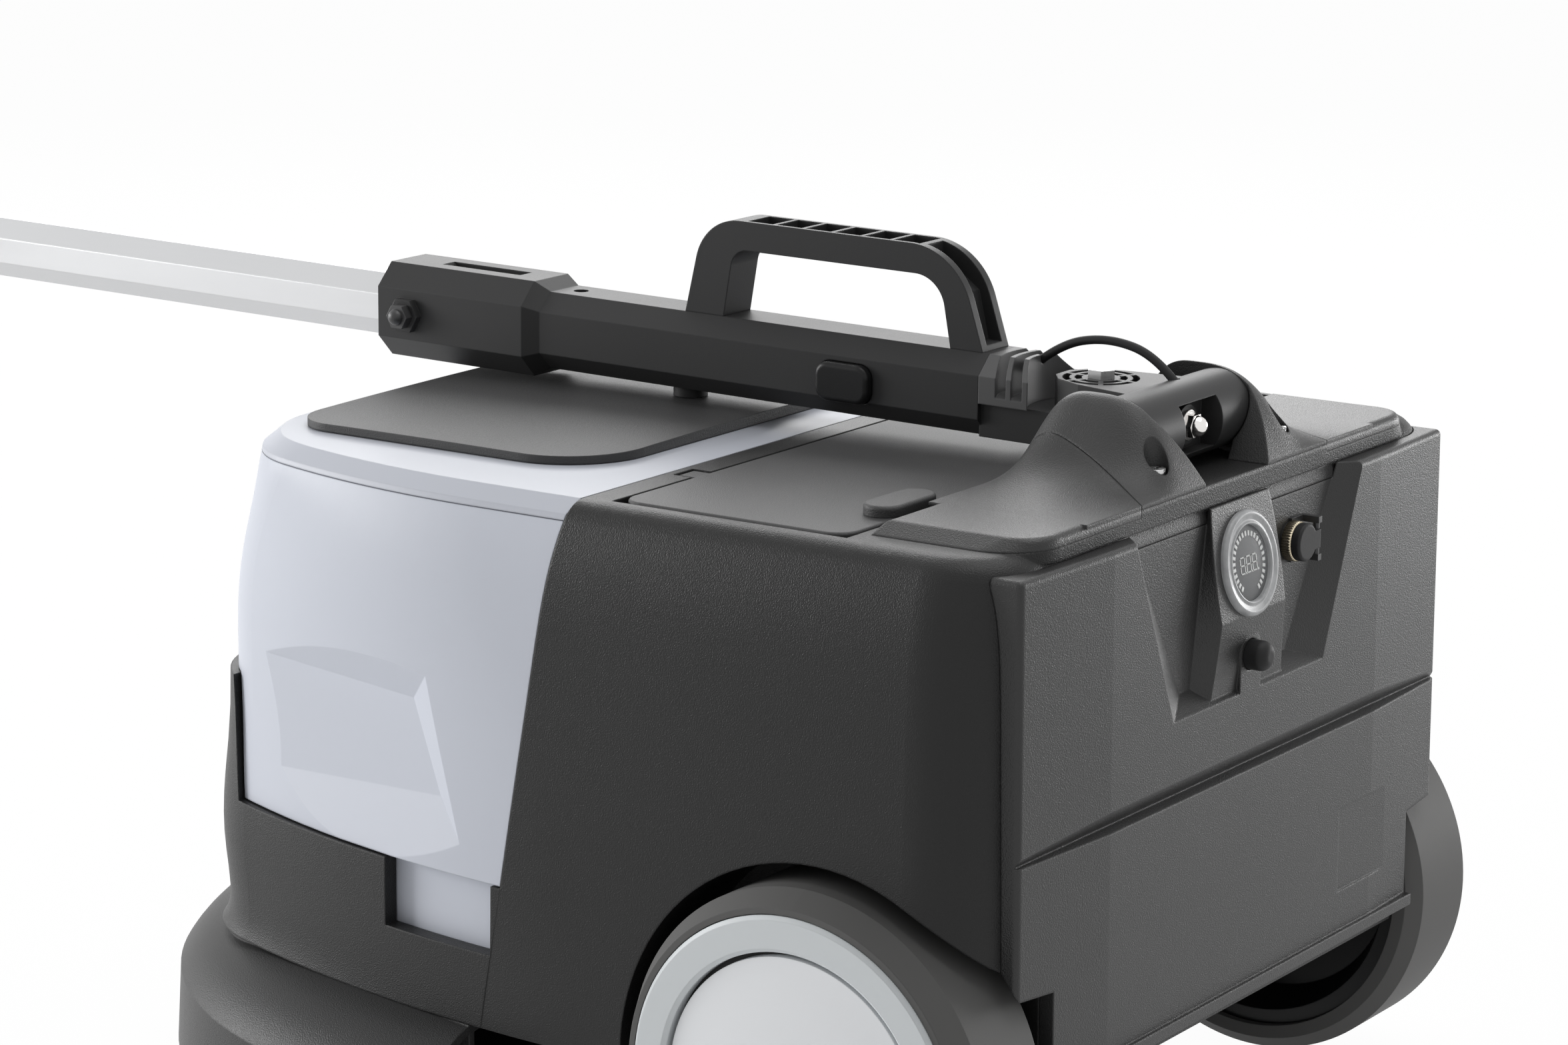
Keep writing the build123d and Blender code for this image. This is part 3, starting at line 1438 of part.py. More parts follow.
for grip_name, grip_side_sign in (("grip_left", 1), ("grip_right", -1)):
    with BuildPart() as bar_grip:
        near_x = grip_side_sign * grip_sleeve_inner_x
        far_x = grip_side_sign * (bar_half + 4)
        crossbar(bar_u, bar_v, min(near_x, far_x), max(near_x, far_x), grip_sleeve_radius)
        crossbar(bar_u, bar_v, -bar_half, bar_half, bar_radius + running_gap, mode=Mode.SUBTRACT)
    finish(bar_grip, grip_name)

with BuildPart() as drive_lever:
    for arm_x in (lever_arm_x, -lever_arm_x - lever_arm_thick):
        arm_along = Vector(lever_rod_u - lever_u, lever_rod_v - lever_v)
        with BuildSketch(side_plane.offset(-arm_x - lever_arm_thick)) as lever_arm:
            with Locations((lever_u, lever_v), (lever_rod_u, lever_rod_v)):
                Circle(lever_arm_width / 2)
            with Locations(((lever_u + lever_rod_u) / 2, (lever_v + lever_rod_v) / 2)):
                Rectangle(
                    arm_along.length,
                    lever_arm_width,
                    rotation=-arm_along.get_angle(Vector(1, 0)),
                )
        extrude(lever_arm.sketch, amount=lever_arm_thick)
    crossbar(lever_rod_u, lever_rod_v, -lever_rod_half, lever_rod_half, lever_rod_radius)
    crossbar(lever_u, lever_v, -100, 100, lever_pin_radius + running_gap, mode=Mode.SUBTRACT)
finish(drive_lever, "drive_lever")

with BuildPart() as power_button:
    upright(power_u, power_floor + power_travel + 0.5, head_high_v + power_proud, power_radius)
    fillet(power_button.faces().sort_by(Axis.Z)[-1].edges(), power_proud / 2)
finish(power_button, "power_button")

print("wheels and axle")
core_radius = wheel_radius - tyre_depth
core_inner_x = wheel_inner_x + 4
core_outer_x = wheel_outer_x - face_recess
axle_end_x = core_outer_x - 2 * clip_thick


# Turns a profile of (radius, distance along X) about the axle, on one side of the machine.
def turned(points, side, mode=Mode.ADD):
    with BuildSketch(Plane((0, axle_y, wheel_radius), x_dir=(0, 0, 1), z_dir=(0, side, 0))) as outline:
        with BuildLine():
            Polyline(*points, close=True)
        make_face()
    axle_line = Axis((0, axle_y, wheel_radius), (-side, 0, 0))
    revolve(outline.sketch, axle_line, mode=mode)


wheel_bodies = (("left", 1), ("right", -1))
for side_name, side in wheel_bodies:
    with BuildPart() as tyre:
        turned(
            [
                (core_radius, wheel_inner_x),
                (wheel_radius - tyre_shoulder, wheel_inner_x),
                (wheel_radius, wheel_inner_x + tyre_shoulder),
                (wheel_radius, wheel_outer_x - 2 * tyre_shoulder),
                (wheel_radius - tyre_shoulder, wheel_outer_x - trim_bevel),
                (trim_ring_outer + face_gap, wheel_outer_x - trim_bevel),
                (trim_ring_outer + face_gap, core_outer_x),
                (core_radius, core_outer_x),
            ],
            side,
        )
    finish(tyre, "tyre_" + side_name)

    with BuildPart() as wheel_core:
        bore = axle_radius + running_gap
        turned(
            [
                (bore, core_inner_x),
                (axle_radius + hub_wall, core_inner_x),
                (axle_radius + hub_wall, core_inner_x + web_recess),
                (core_radius - 2 * face_recess, core_inner_x + web_recess),
                (core_radius - face_recess, core_inner_x),
                (core_radius - running_gap, core_inner_x),
                (core_radius - running_gap, core_outer_x),
                (clip_radius + 2, core_outer_x),
                (clip_radius + 2, axle_end_x - clip_thick),
                (bore, axle_end_x - clip_thick),
            ],
            side,
        )
    finish(wheel_core, "wheel_core_" + side_name)

    # domed disc and outer ring, with a groove between them
    trim_place = Location((side * (core_outer_x + wheel_outer_x) / 2, axle_y, wheel_radius), (0, 90, 0))
    with BuildPart() as trim_ring:
        with Locations(trim_place):
            Cylinder(trim_ring_outer, face_recess)
            Cylinder(trim_ring_inner, face_recess, mode=Mode.SUBTRACT)
        outward = Axis((0, 0, 0), (side, 0, 0))
        chamfer(trim_ring.faces().sort_by(outward)[-1].edges(), trim_bevel)

    with BuildPart() as wheel_trim:
        with Locations(trim_place):
            Cylinder(hub_cap_radius, face_recess)
        dome_curve = (hub_cap_radius**2 + hub_cap_dome**2) / (2 * hub_cap_dome)
        with Locations((side * (wheel_outer_x - dome_curve), axle_y, wheel_radius)):
            Sphere(dome_curve, rotation=(0, 90, 0), mode=Mode.INTERSECT)
        add(trim_ring.part)
    finish(wheel_trim, "wheel_trim_" + side_name)

with BuildPart() as axle:
    with Locations(Location((0, axle_y, wheel_radius), (0, 90, 0))):
        Cylinder(axle_radius, 2 * axle_end_x)
finish(axle, "axle")

with BuildPart() as axle_clips:
    for side in (1, -1):
        clip_section = [
            (axle_radius, axle_end_x - clip_thick + face_gap),
            (clip_radius, axle_end_x - clip_thick + face_gap),
            (clip_radius, axle_end_x),
            (axle_radius, axle_end_x),
        ]
        turned(clip_section, side)
finish(axle_clips, "axle_clips")

with BuildPart() as axle_brackets:
    for side in (1, -1):
        box_between(
            (side * bracket_x - bracket_width / 2, axle_y - axle_radius - bracket_foot, plate_top_z),
            (
                side * bracket_x + bracket_width / 2,
                axle_y + axle_radius + bracket_foot,
                wheel_radius + axle_radius + bracket_wall,
            ),
        )
    with Locations(Location((0, axle_y, wheel_radius), (0, 90, 0))):
        Cylinder(axle_radius + running_gap, 2 * axle_end_x, mode=Mode.SUBTRACT)
finish(axle_brackets, "axle_brackets")

print("deck and machinery")
with BuildPart() as base_plate:
    plate_form(0, plate_z, plate_top_z)
    far = 2 * hull_low_half
    box_between((-far, axle_y - axle_radius - axle_room, 0), (far, far, 2 * plate_z), mode=Mode.SUBTRACT)
    Cylinder(motor_nose_radius + face_gap, 3 * plate_z, mode=Mode.SUBTRACT)
    with Locations((0, port_y, plate_z)):
        Cylinder(port_radius + pipe_wall + 2 * face_gap, 4 * plate_thick, mode=Mode.SUBTRACT)
    for side in (1, -1):
        with Locations((side * stud_x, stud_y, plate_z)):
            Cylinder(stud_radius + running_gap, 4 * plate_thick, mode=Mode.SUBTRACT)
finish(base_plate, "base_plate")

with BuildPart() as rear_floor:
    plate_form(0, plate_z, plate_top_z)
    box_between((-far, -far, 0), (far, axle_y + axle_radius + axle_room, 2 * plate_z), mode=Mode.SUBTRACT)
finish(rear_floor, "rear_floor")

shroud_flange_radius = shroud_top_radius - shroud_flange_width
# a riser carries the line of the body down to the slope
with BuildPart() as shroud_riser:
    riser_rise = plate_z - face_gap - riser_low_z
    for grow, mode in ((0, Mode.ADD), (-shroud_wall, Mode.SUBTRACT)):
        extrude(plan_face(riser_low_z, hull_rows[0][1:], grow, grow, grow), amount=riser_rise, mode=mode)

with BuildPart() as brush_shroud:
    with BuildSketch(Plane.XZ) as shroud_section:
        with BuildLine():
            for depth in (0, shroud_wall):
                top = (shroud_top_radius - depth / 2, plate_z - depth)
                bend = (shroud_bend_radius - depth / 2, shroud_bend_z - depth)
                rim = (shroud_rim_radius - depth, shroud_rim_z - depth / 2)
                Line((shroud_flange_radius, plate_z - depth), top)
                ThreePointArc(top, bend, rim)
                Line(rim, (shroud_low_radius - depth, shroud_low_z))
            Line((shroud_flange_radius, plate_z), (shroud_flange_radius, plate_z - shroud_wall))
            Line((shroud_low_radius, shroud_low_z), (shroud_low_radius - shroud_wall, shroud_low_z))
        make_face()
    revolve(shroud_section.sketch, Axis.Z)
    add(shroud_riser.part)
    far = 2 * shroud_rim_radius
    box_between((-far, shroud_rear_y, -1), (far, far, 2 * plate_z), mode=Mode.SUBTRACT)
finish(brush_shroud, "brush_shroud")

with BuildPart() as splash_apron:
    apron_radius = shroud_rim_radius - shroud_wall
    with BuildSketch(Plane.XY.offset(apron_low_z)) as apron_plan:
        Circle(apron_radius - running_gap)
        Circle(apron_radius - apron_thick, mode=Mode.SUBTRACT)
        with Locations((0, shroud_rear_y + apron_radius)):
            Rectangle(4 * apron_radius, 2 * apron_radius, mode=Mode.SUBTRACT)
    extrude(apron_plan.sketch, amount=apron_high_z - apron_low_z)
finish(splash_apron, "splash_apron")

with BuildPart() as scrub_pad:
    Cylinder(pad_radius, pad_thick, align=(Align.CENTER, Align.CENTER, Align.MIN))
finish(scrub_pad, "scrub_pad")

driver_top_z = pad_thick + driver_thick
with BuildPart() as pad_driver:
    with Locations((0, 0, pad_thick)):
        Cylinder(driver_radius, driver_thick, align=(Align.CENTER, Align.CENTER, Align.MIN))
    chamfer(pad_driver.edges().group_by(Axis.Z)[-1], driver_thick / 3)
finish(pad_driver, "pad_driver")

with BuildPart() as drive_hub:
    with Locations((0, 0, driver_top_z)):
        Cylinder(hub_radius, hub_high, align=(Align.CENTER, Align.CENTER, Align.MIN))
        Cylinder(shaft_radius, hub_high + shaft_reach, align=(Align.CENTER, Align.CENTER, Align.MIN))
finish(drive_hub, "drive_hub")

with BuildPart() as brush_motor:
    with Locations((0, 0, plate_top_z)):
        Cylinder(motor_radius + motor_flange, motor_flange, align=(Align.CENTER, Align.CENTER, Align.MIN))
        Cylinder(motor_radius, motor_top_z - plate_top_z, align=(Align.CENTER, Align.CENTER, Align.MIN))
        nose_length = plate_thick + motor_nose_drop
        Cylinder(motor_nose_radius, nose_length, align=(Align.CENTER, Align.CENTER, Align.MAX))
    fillet(brush_motor.edges().group_by(Axis.Z)[-1], motor_flange)
    with Locations((0, 0, driver_top_z)):
        Cylinder(
            shaft_radius + running_gap,
            hub_high + shaft_reach + face_gap,
            align=(Align.CENTER, Align.CENTER, Align.MIN),
            mode=Mode.SUBTRACT,
        )
finish(brush_motor, "brush_motor")


# An arc strip behind the pad, between two radii and two heights.
def rear_arc(inner, outer, low, high):
    with BuildSketch(Plane.XY.offset(low)) as strip:
        with BuildLine():
            for radius in (inner, outer):
                CenterArc((0, 0), radius, 90 - squeegee_angle, 2 * squeegee_angle)
            for turn in (radians(90 - squeegee_angle), radians(90 + squeegee_angle)):
                Line((inner * cos(turn), inner * sin(turn)), (outer * cos(turn), outer * sin(turn)))
        make_face()
    extrude(strip.sketch, amount=high - low)


arc_inner = squeegee_radius - squeegee_thick / 2
arc_outer = squeegee_radius + squeegee_thick / 2
with BuildPart() as squeegee_frame:
    rear_arc(arc_inner + blade_thick, arc_outer - blade_thick, squeegee_low_z, squeegee_high_z)
    port_half = port_radius + port_flange
    box_between(
        (-port_half, port_y - port_half, squeegee_high_z - 1),
        (port_half, squeegee_radius, squeegee_high_z + port_wall),
    )
    with Locations((0, port_y, squeegee_high_z)):
        Cylinder(port_radius, port_top_z - squeegee_high_z, align=(Align.CENTER, Align.CENTER, Align.MIN))
        Cylinder(port_radius - port_wall, 4 * port_top_z, mode=Mode.SUBTRACT)
    for side in (1, -1):
        stud_low_z = squeegee_high_z
        stud_high_z = plate_top_z + float_travel + stud_spare
        with Locations((side * stud_x, stud_y, stud_low_z - 2)):
            Cylinder(stud_foot_radius, port_wall + 2, align=(Align.CENTER, Align.CENTER, Align.MIN))
            stud_length = stud_high_z - stud_low_z + 2
            Cylinder(stud_radius, stud_length, align=(Align.CENTER, Align.CENTER, Align.MIN))
finish(squeegee_frame, "squeegee_frame")

with BuildPart() as squeegee_blades:
    for blade_inner in (arc_inner, arc_outer - blade_thick):
        rear_arc(blade_inner, blade_inner + blade_thick, blade_low_z, squeegee_high_z - blade_thick)
finish(squeegee_blades, "squeegee_blades")

with BuildPart() as suction_pipe:
    pipe_inner = port_radius + face_gap
    with Locations((0, port_y, pipe_low_z)):
        pipe_length = pipe_top_z - pipe_low_z
        Cylinder(pipe_inner + pipe_wall, pipe_length, align=(Align.CENTER, Align.CENTER, Align.MIN))
    with Locations((0, port_y, plate_top_z)):
        Cylinder(pipe_inner + 2 * pipe_wall, pipe_wall, align=(Align.CENTER, Align.CENTER, Align.MIN))
    with Locations((0, port_y, pipe_low_z - 1)):
        Cylinder(
            pipe_inner,
            pipe_top_z - pipe_low_z - pipe_wall,
            align=(Align.CENTER, Align.CENTER, Align.MIN),
            mode=Mode.SUBTRACT,
        )
finish(suction_pipe, "suction_pipe")

with BuildPart() as battery:
    with Locations((battery_x, battery_y, plate_top_z)):
        Box(*battery_size, align=(Align.CENTER, Align.CENTER, Align.MIN))
    fillet(battery.edges().filter_by(Axis.Z), terminal_radius)
    for side in (1, -1):
        terminal_x = battery_x + side * (battery_size[0] / 2 - 3 * terminal_radius)
        with Locations((terminal_x, battery_y, plate_top_z + battery_size[2])):
            Cylinder(terminal_radius, terminal_high, align=(Align.CENTER, Align.CENTER, Align.MIN))
finish(battery, "battery")

with BuildPart() as vacuum_motor:
    with Locations((vacuum_x, vacuum_y, plate_top_z)):
        Cylinder(vacuum_radius, vacuum_top_z - plate_top_z, align=(Align.CENTER, Align.CENTER, Align.MIN))
    fillet(vacuum_motor.edges().group_by(Axis.Z)[-1], vacuum_radius / 5)
finish(vacuum_motor, "vacuum_motor")

with BuildPart() as water_pump:
    with Locations((pump_x, pump_y, plate_top_z)):
        Box(*pump_size, align=(Align.CENTER, Align.CENTER, Align.MIN))
    fillet(water_pump.edges().filter_by(Axis.Z), terminal_radius)
finish(water_pump, "water_pump")
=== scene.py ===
import bmesh
import bpy
import numpy as np
from mathutils import Matrix, Vector


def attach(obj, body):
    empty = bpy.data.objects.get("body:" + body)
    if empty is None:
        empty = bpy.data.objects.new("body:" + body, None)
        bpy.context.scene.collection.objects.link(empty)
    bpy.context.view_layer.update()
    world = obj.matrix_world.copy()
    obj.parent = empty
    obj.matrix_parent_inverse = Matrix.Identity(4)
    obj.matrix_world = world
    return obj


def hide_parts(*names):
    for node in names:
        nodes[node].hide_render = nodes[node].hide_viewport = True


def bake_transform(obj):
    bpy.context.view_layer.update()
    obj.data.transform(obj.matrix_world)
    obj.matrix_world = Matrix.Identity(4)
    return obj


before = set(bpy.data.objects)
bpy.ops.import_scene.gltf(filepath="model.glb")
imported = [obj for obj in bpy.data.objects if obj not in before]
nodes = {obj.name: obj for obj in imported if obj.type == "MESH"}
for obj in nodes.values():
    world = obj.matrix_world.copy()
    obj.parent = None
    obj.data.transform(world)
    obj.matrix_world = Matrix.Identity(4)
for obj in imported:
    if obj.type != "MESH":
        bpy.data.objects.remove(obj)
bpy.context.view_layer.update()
print("frame loaded:", len(nodes), "nodes")

# camera at the photo's viewpoint, in metres and degrees, with its lens and sensor in millimetres
cameraSetup = {
    "place": (1.82145, 1.33323, 0.81324),
    "azimuth": 124.91,
    "elevation": 12.91,
    "lens": 101.04,
    "sensor": 36.0,
    "clip": (0.05, 60),
}


def addCamera(setup):
    azimuth, elevation = np.radians(setup["azimuth"]), np.radians(setup["elevation"])
    right = Vector((np.cos(azimuth), np.sin(azimuth), 0))
    back = Vector((
        np.sin(azimuth) * np.cos(elevation),
        -np.cos(azimuth) * np.cos(elevation),
        np.sin(elevation),
    ))
    up = back.cross(right)
    data = bpy.data.cameras.new("viewCamera")
    data.lens, data.sensor_width = setup["lens"], setup["sensor"]
    data.sensor_fit = "HORIZONTAL"
    data.clip_start, data.clip_end = setup["clip"]
    camera = bpy.data.objects.new("viewCamera", data)
    turn = Matrix((right, up, back)).transposed().to_4x4()
    camera.matrix_world = Matrix.Translation(setup["place"]) @ turn
    bpy.context.scene.collection.objects.link(camera)
    bpy.context.scene.camera = camera


addCamera(cameraSetup)
print("camera placed")


# a shader socket that takes part in plain arithmetic
class Wire:
    def __init__(self, tree, socket=None):
        self.tree, self.socket = tree, socket

    # any node: its settings first, then the values or links of its sockets
    def node(self, kind, settings=None, sockets=None, out=0):
        made = self.tree.nodes.new("ShaderNode" + kind)
        for key, value in (settings or {}).items():
            setattr(made, key, value)
        for key, value in (sockets or {}).items():
            self.put(made.inputs[key], value)
        return Wire(self.tree, made.outputs[out])

    def put(self, socket, value):
        if isinstance(value, Wire):
            self.tree.links.new(value.socket, socket)
        else:
            socket.default_value = value

    def math(self, operation, first, second=0.0):
        return self.node("Math", {"operation": operation}, {0: first, 1: second})

    def __add__(self, other):
        return self.math("ADD", self, other)

    def __radd__(self, other):
        return self.math("ADD", other, self)

    def __sub__(self, other):
        return self.math("SUBTRACT", self, other)

    def __mul__(self, other):
        return self.math("MULTIPLY", self, other)

    # two colours mixed by a factor
    def tint(self, factor, first, second):
        return self.node("Mix", {"data_type": "RGBA"}, {0: factor, 6: first, 7: second}, out=2)

    def noise(self, place, scale, detail=2.0, rough=0.5):
        return self.node(
            "TexNoise", None, {"Vector": place, "Scale": scale, "Detail": detail, "Roughness": rough}
        )

    def stretched(self, place, scale):
        return self.node("Mapping", None, {"Vector": place, "Scale": scale})


def startFinish(name):
    material = bpy.data.materials.new(name)
    material.use_nodes = True
    tree = material.node_tree
    tree.nodes.clear()
    output = tree.nodes.new("ShaderNodeOutputMaterial")
    shader = tree.nodes.new("ShaderNodeBsdfPrincipled")
    tree.links.new(shader.outputs[0], output.inputs[0])
    wire = Wire(tree)
    place = wire.node("TexCoord", out="Object")
    return material, wire, shader, place


# one where a point lies further than a reach from an axis along X, else zero
def outsideRing(wire, place, ring):
    y, z = (wire.node("SeparateXYZ", None, {0: place}, out=axis) for axis in ("Y", "Z"))
    offY, offZ = y - ring["centre"][0], z - ring["centre"][1]
    return wire.math("GREATER_THAN", offY * offY + offZ * offZ, ring["reach"] ** 2)


# moulded plastic: pebbled grain, faint cloudiness and softened edges, and where a look asks for it an outer
# ring in painted shade
def plasticFinish(name, look):
    material, wire, shader, place = startFinish(name)
    cloud = wire.noise(place, look["cloudScale"], detail=3.0)
    fine = wire.noise(place, look["grainScale"], detail=1.5, rough=0.45)
    dark = tuple(c * look["dark"] for c in look["colour"])
    colour = wire.tint(cloud, (*dark, 1), (*look["colour"], 1))
    # optional painted shade: points outside a ring about an axis along X take the darker ring colour
    if "ring" in look:
        colour = wire.tint(outsideRing(wire, place, look["ring"]), colour, (*look["ringPaintedShadeColour"], 1))
    wire.put(shader.inputs["Base Color"], colour)
    roughness = look["rough"] + (cloud - 0.5) * look["roughSpread"] + (fine - 0.5) * look["glint"]
    wire.put(shader.inputs["Roughness"], roughness)
    shader.inputs["Specular IOR Level"].default_value = look["specular"]
    edge = wire.node("Bevel", {"samples": 4}, {"Radius": look["edge"]})
    relief = wire.node("Bump", None, {
        "Strength": look["bump"], "Distance": look["depth"], "Height": fine, "Normal": edge,
    })
    wire.put(shader.inputs["Normal"], relief)
    return material


shellLook = {
    "colour": (0.0155, 0.0155, 0.0155), "dark": 0.86, "cloudScale": 9.0, "grainScale": 1450.0,
    "rough": 0.42, "roughSpread": 0.08, "glint": 0.2, "specular": 0.27, "bump": 0.8, "depth": 0.0003,
    "edge": 0.0014,
}
lidLook = {
    **shellLook, "colour": (0.026, 0.026, 0.0265), "rough": 0.56, "specular": 0.56, "bump": 0.6,
    "edge": 0.001,
}
rearLook = {**shellLook, "colour": (0.022, 0.022, 0.022), "rough": 0.4, "specular": 0.42}
# ears: the shell plastic painted lighter, a painted highlight standing in for the light their rounded tops
# catch
earPaintedHighlightLook = {**shellLook, "colour": (0.052, 0.052, 0.052)}
# brush shroud: the shell plastic painted lighter, painted light for its sloping top, which is brightly lit
shroudPaintedLightLook = {**shellLook, "colour": (0.028, 0.028, 0.028)}
handleLook = {
    **shellLook, "colour": (0.034, 0.034, 0.0345), "rough": 0.45, "glint": 0.1, "specular": 0.2, "bump": 0.2,
    "depth": 0.00014, "edge": 0.0009,
}
# swivel insert: the handle plastic painted much lighter, painted light standing in for the light falling on
# it
insertPaintedLightLook = {**handleLook, "colour": (0.11, 0.11, 0.111)}
buttonLook = {**handleLook, "colour": (0.012, 0.012, 0.0125), "rough": 0.34}
tankLook = {
    **shellLook, "colour": (0.565, 0.59, 0.655), "dark": 0.965, "cloudScale": 5.0, "rough": 0.42,
    "roughSpread": 0.08, "glint": 0.05, "bump": 0.16, "depth": 0.0001, "edge": 0.0011,
}
# tank cap: the tank plastic painted darker, a painted shade that takes off the extra light the top lamp gives
# its sides
capPaintedShadeLook = {**tankLook, "colour": (0.515, 0.535, 0.59)}
trimBox = np.array(nodes["wheel_trim_left"].bound_box)
trimLook = {
    **tankLook, "colour": (0.87, 0.885, 0.905), "rough": 0.36, "edge": 0.0008,
    "ring": {"centre": tuple((trimBox.min(0) + trimBox.max(0))[1:] / 2), "reach": 0.0708},
    # outer ring: the trim plastic painted darker, a painted shade for the ring's different tilt
    "ringPaintedShadeColour": (0.66, 0.69, 0.705),
}
rubberLook = {
    **shellLook, "colour": (0.014, 0.014, 0.0145), "rough": 0.58, "glint": 0.1, "bump": 0.25, "depth": 0.0001,
    "edge": 0.0008,
}
tyreLook = {**rubberLook, "colour": (0.11, 0.109, 0.107), "rough": 0.62, "cloudScale": 14.0}
innerLook = {**shellLook, "colour": (0.02, 0.02, 0.021), "rough": 0.55, "bump": 0.3}
gaugeLook = {**handleLook, "colour": (0.15, 0.154, 0.158), "rough": 0.5, "edge": 0.0004}


# metal and paint: noise, stretched into drawn lines or left even, varies the gloss and the relief
def metalFinish(name, look):
    material, wire, shader, place = startFinish(name)
    lines = wire.noise(wire.stretched(place, look["stretch"]), scale=1.0, detail=3.0, rough=0.6)
    cloud = wire.noise(place, look["cloudScale"])
    worn = tuple(c * look["dark"] for c in look["colour"])
    wire.put(shader.inputs["Base Color"], wire.tint(cloud, (*worn, 1), (*look["colour"], 1)))
    shader.inputs["Metallic"].default_value = look["metal"]
    wire.put(shader.inputs["Roughness"], look["rough"] + (lines - 0.5) * look["glint"])
    edge = wire.node("Bevel", {"samples": 4}, {"Radius": look["edge"]})
    relief = wire.node("Bump", None, {
        "Strength": look["bump"], "Distance": look["depth"], "Height": lines, "Normal": edge,
    })
    wire.put(shader.inputs["Normal"], relief)
    return material


tubeLook = {
    "colour": (0.63, 0.635, 0.645), "dark": 0.94, "stretch": (2600.0, 18.0, 2600.0), "cloudScale": 6.0,
    "metal": 0.75, "rough": 0.34, "glint": 0.14, "bump": 0.08, "depth": 0.00005, "edge": 0.0008,
}
chromeLook = {
    **tubeLook, "colour": (0.82, 0.8, 0.78), "stretch": (900.0, 900.0, 900.0), "metal": 1.0, "rough": 0.14,
    "glint": 0.08, "bump": 0.04, "edge": 0.0005,
}
brassLook = {**chromeLook, "colour": (0.5, 0.44, 0.33), "rough": 0.26}
steelLook = {**chromeLook, "colour": (0.6, 0.6, 0.6), "rough": 0.3, "glint": 0.16, "bump": 0.1}
paintLook = {**steelLook, "colour": (0.035, 0.035, 0.036), "metal": 0.0, "rough": 0.42}
motorLook = {**steelLook, "colour": (0.1, 0.1, 0.105), "metal": 0.6, "rough": 0.45}


# clear or milky moulding: its alpha lets what lies behind it show through
def clearFinish(name, look):
    material, wire, shader, place = startFinish(name)
    cloud = wire.noise(place, look["cloudScale"], detail=3.0)
    dark = tuple(c * look["dark"] for c in look["colour"])
    wire.put(shader.inputs["Base Color"], wire.tint(cloud, (*dark, 1), (*look["colour"], 1)))
    wire.put(shader.inputs["Roughness"], look["rough"] + (cloud - 0.5) * look["roughSpread"])
    wire.put(shader.inputs["Alpha"], look["alpha"] + (cloud - 0.5) * look["alphaSpread"])
    shader.inputs["Coat Weight"].default_value = look["coat"]
    return material


bezelLook = {
    "colour": (0.55, 0.56, 0.57), "dark": 0.66, "cloudScale": 160.0, "rough": 0.36, "roughSpread": 0.2,
    "alpha": 0.78, "alphaSpread": 0.3, "coat": 0.12,
}
lensLook = {
    **bezelLook, "colour": (0.3, 0.31, 0.32), "rough": 0.06, "roughSpread": 0.04, "alpha": 0.03,
    "alphaSpread": 0.01, "coat": 0.0,
}
printLook = {**handleLook, "colour": (0.93, 0.94, 0.93), "rough": 0.5, "bump": 0.0}
padLook = {
    **rubberLook, "colour": (0.16, 0.03, 0.025), "dark": 0.45, "cloudScale": 700.0, "grainScale": 420.0,
    "rough": 0.9, "bump": 0.9, "depth": 0.0012, "specular": 0.1, "edge": 0.002,
}

finishes = {
    "bezel": clearFinish("milkyRim", bezelLook),
    "lens": clearFinish("clearLens", lensLook),
    "print": plasticFinish("palePrint", printLook),
    "pad": plasticFinish("nonwovenPad", padLook),
    "shell": plasticFinish("shellPlastic", shellLook),
    "lid": plasticFinish("lidPlastic", lidLook),
    "handle": plasticFinish("handlePlastic", handleLook),
    "insert": plasticFinish("insertPlasticPaintedLight", insertPaintedLightLook),
    "button": plasticFinish("buttonPlastic", buttonLook),
    "rear": plasticFinish("rearPlastic", rearLook),
    "ear": plasticFinish("earPlasticPaintedHighlight", earPaintedHighlightLook),
    "shroud": plasticFinish("shroudPlasticPaintedLight", shroudPaintedLightLook),
    "cap": plasticFinish("capPlasticPaintedShade", capPaintedShadeLook),
    "tank": plasticFinish("tankPlastic", tankLook),
    "trim": plasticFinish("trimPlastic", trimLook),
    "rubber": plasticFinish("softRubber", rubberLook),
    "tyre": plasticFinish("tyreRubber", tyreLook),
    "inner": plasticFinish("innerPlastic", innerLook),
    "gauge": plasticFinish("gaugePlastic", gaugeLook),
    "tube": metalFinish("drawnAluminium", tubeLook),
    "chrome": metalFinish("polishedNickel", chromeLook),
    "brass": metalFinish("paleBrass", brassLook),
    "steel": metalFinish("zincSteel", steelLook),
    "paint": metalFinish("blackPaint", paintLook),
    "motor": metalFinish("motorCasing", motorLook),
}
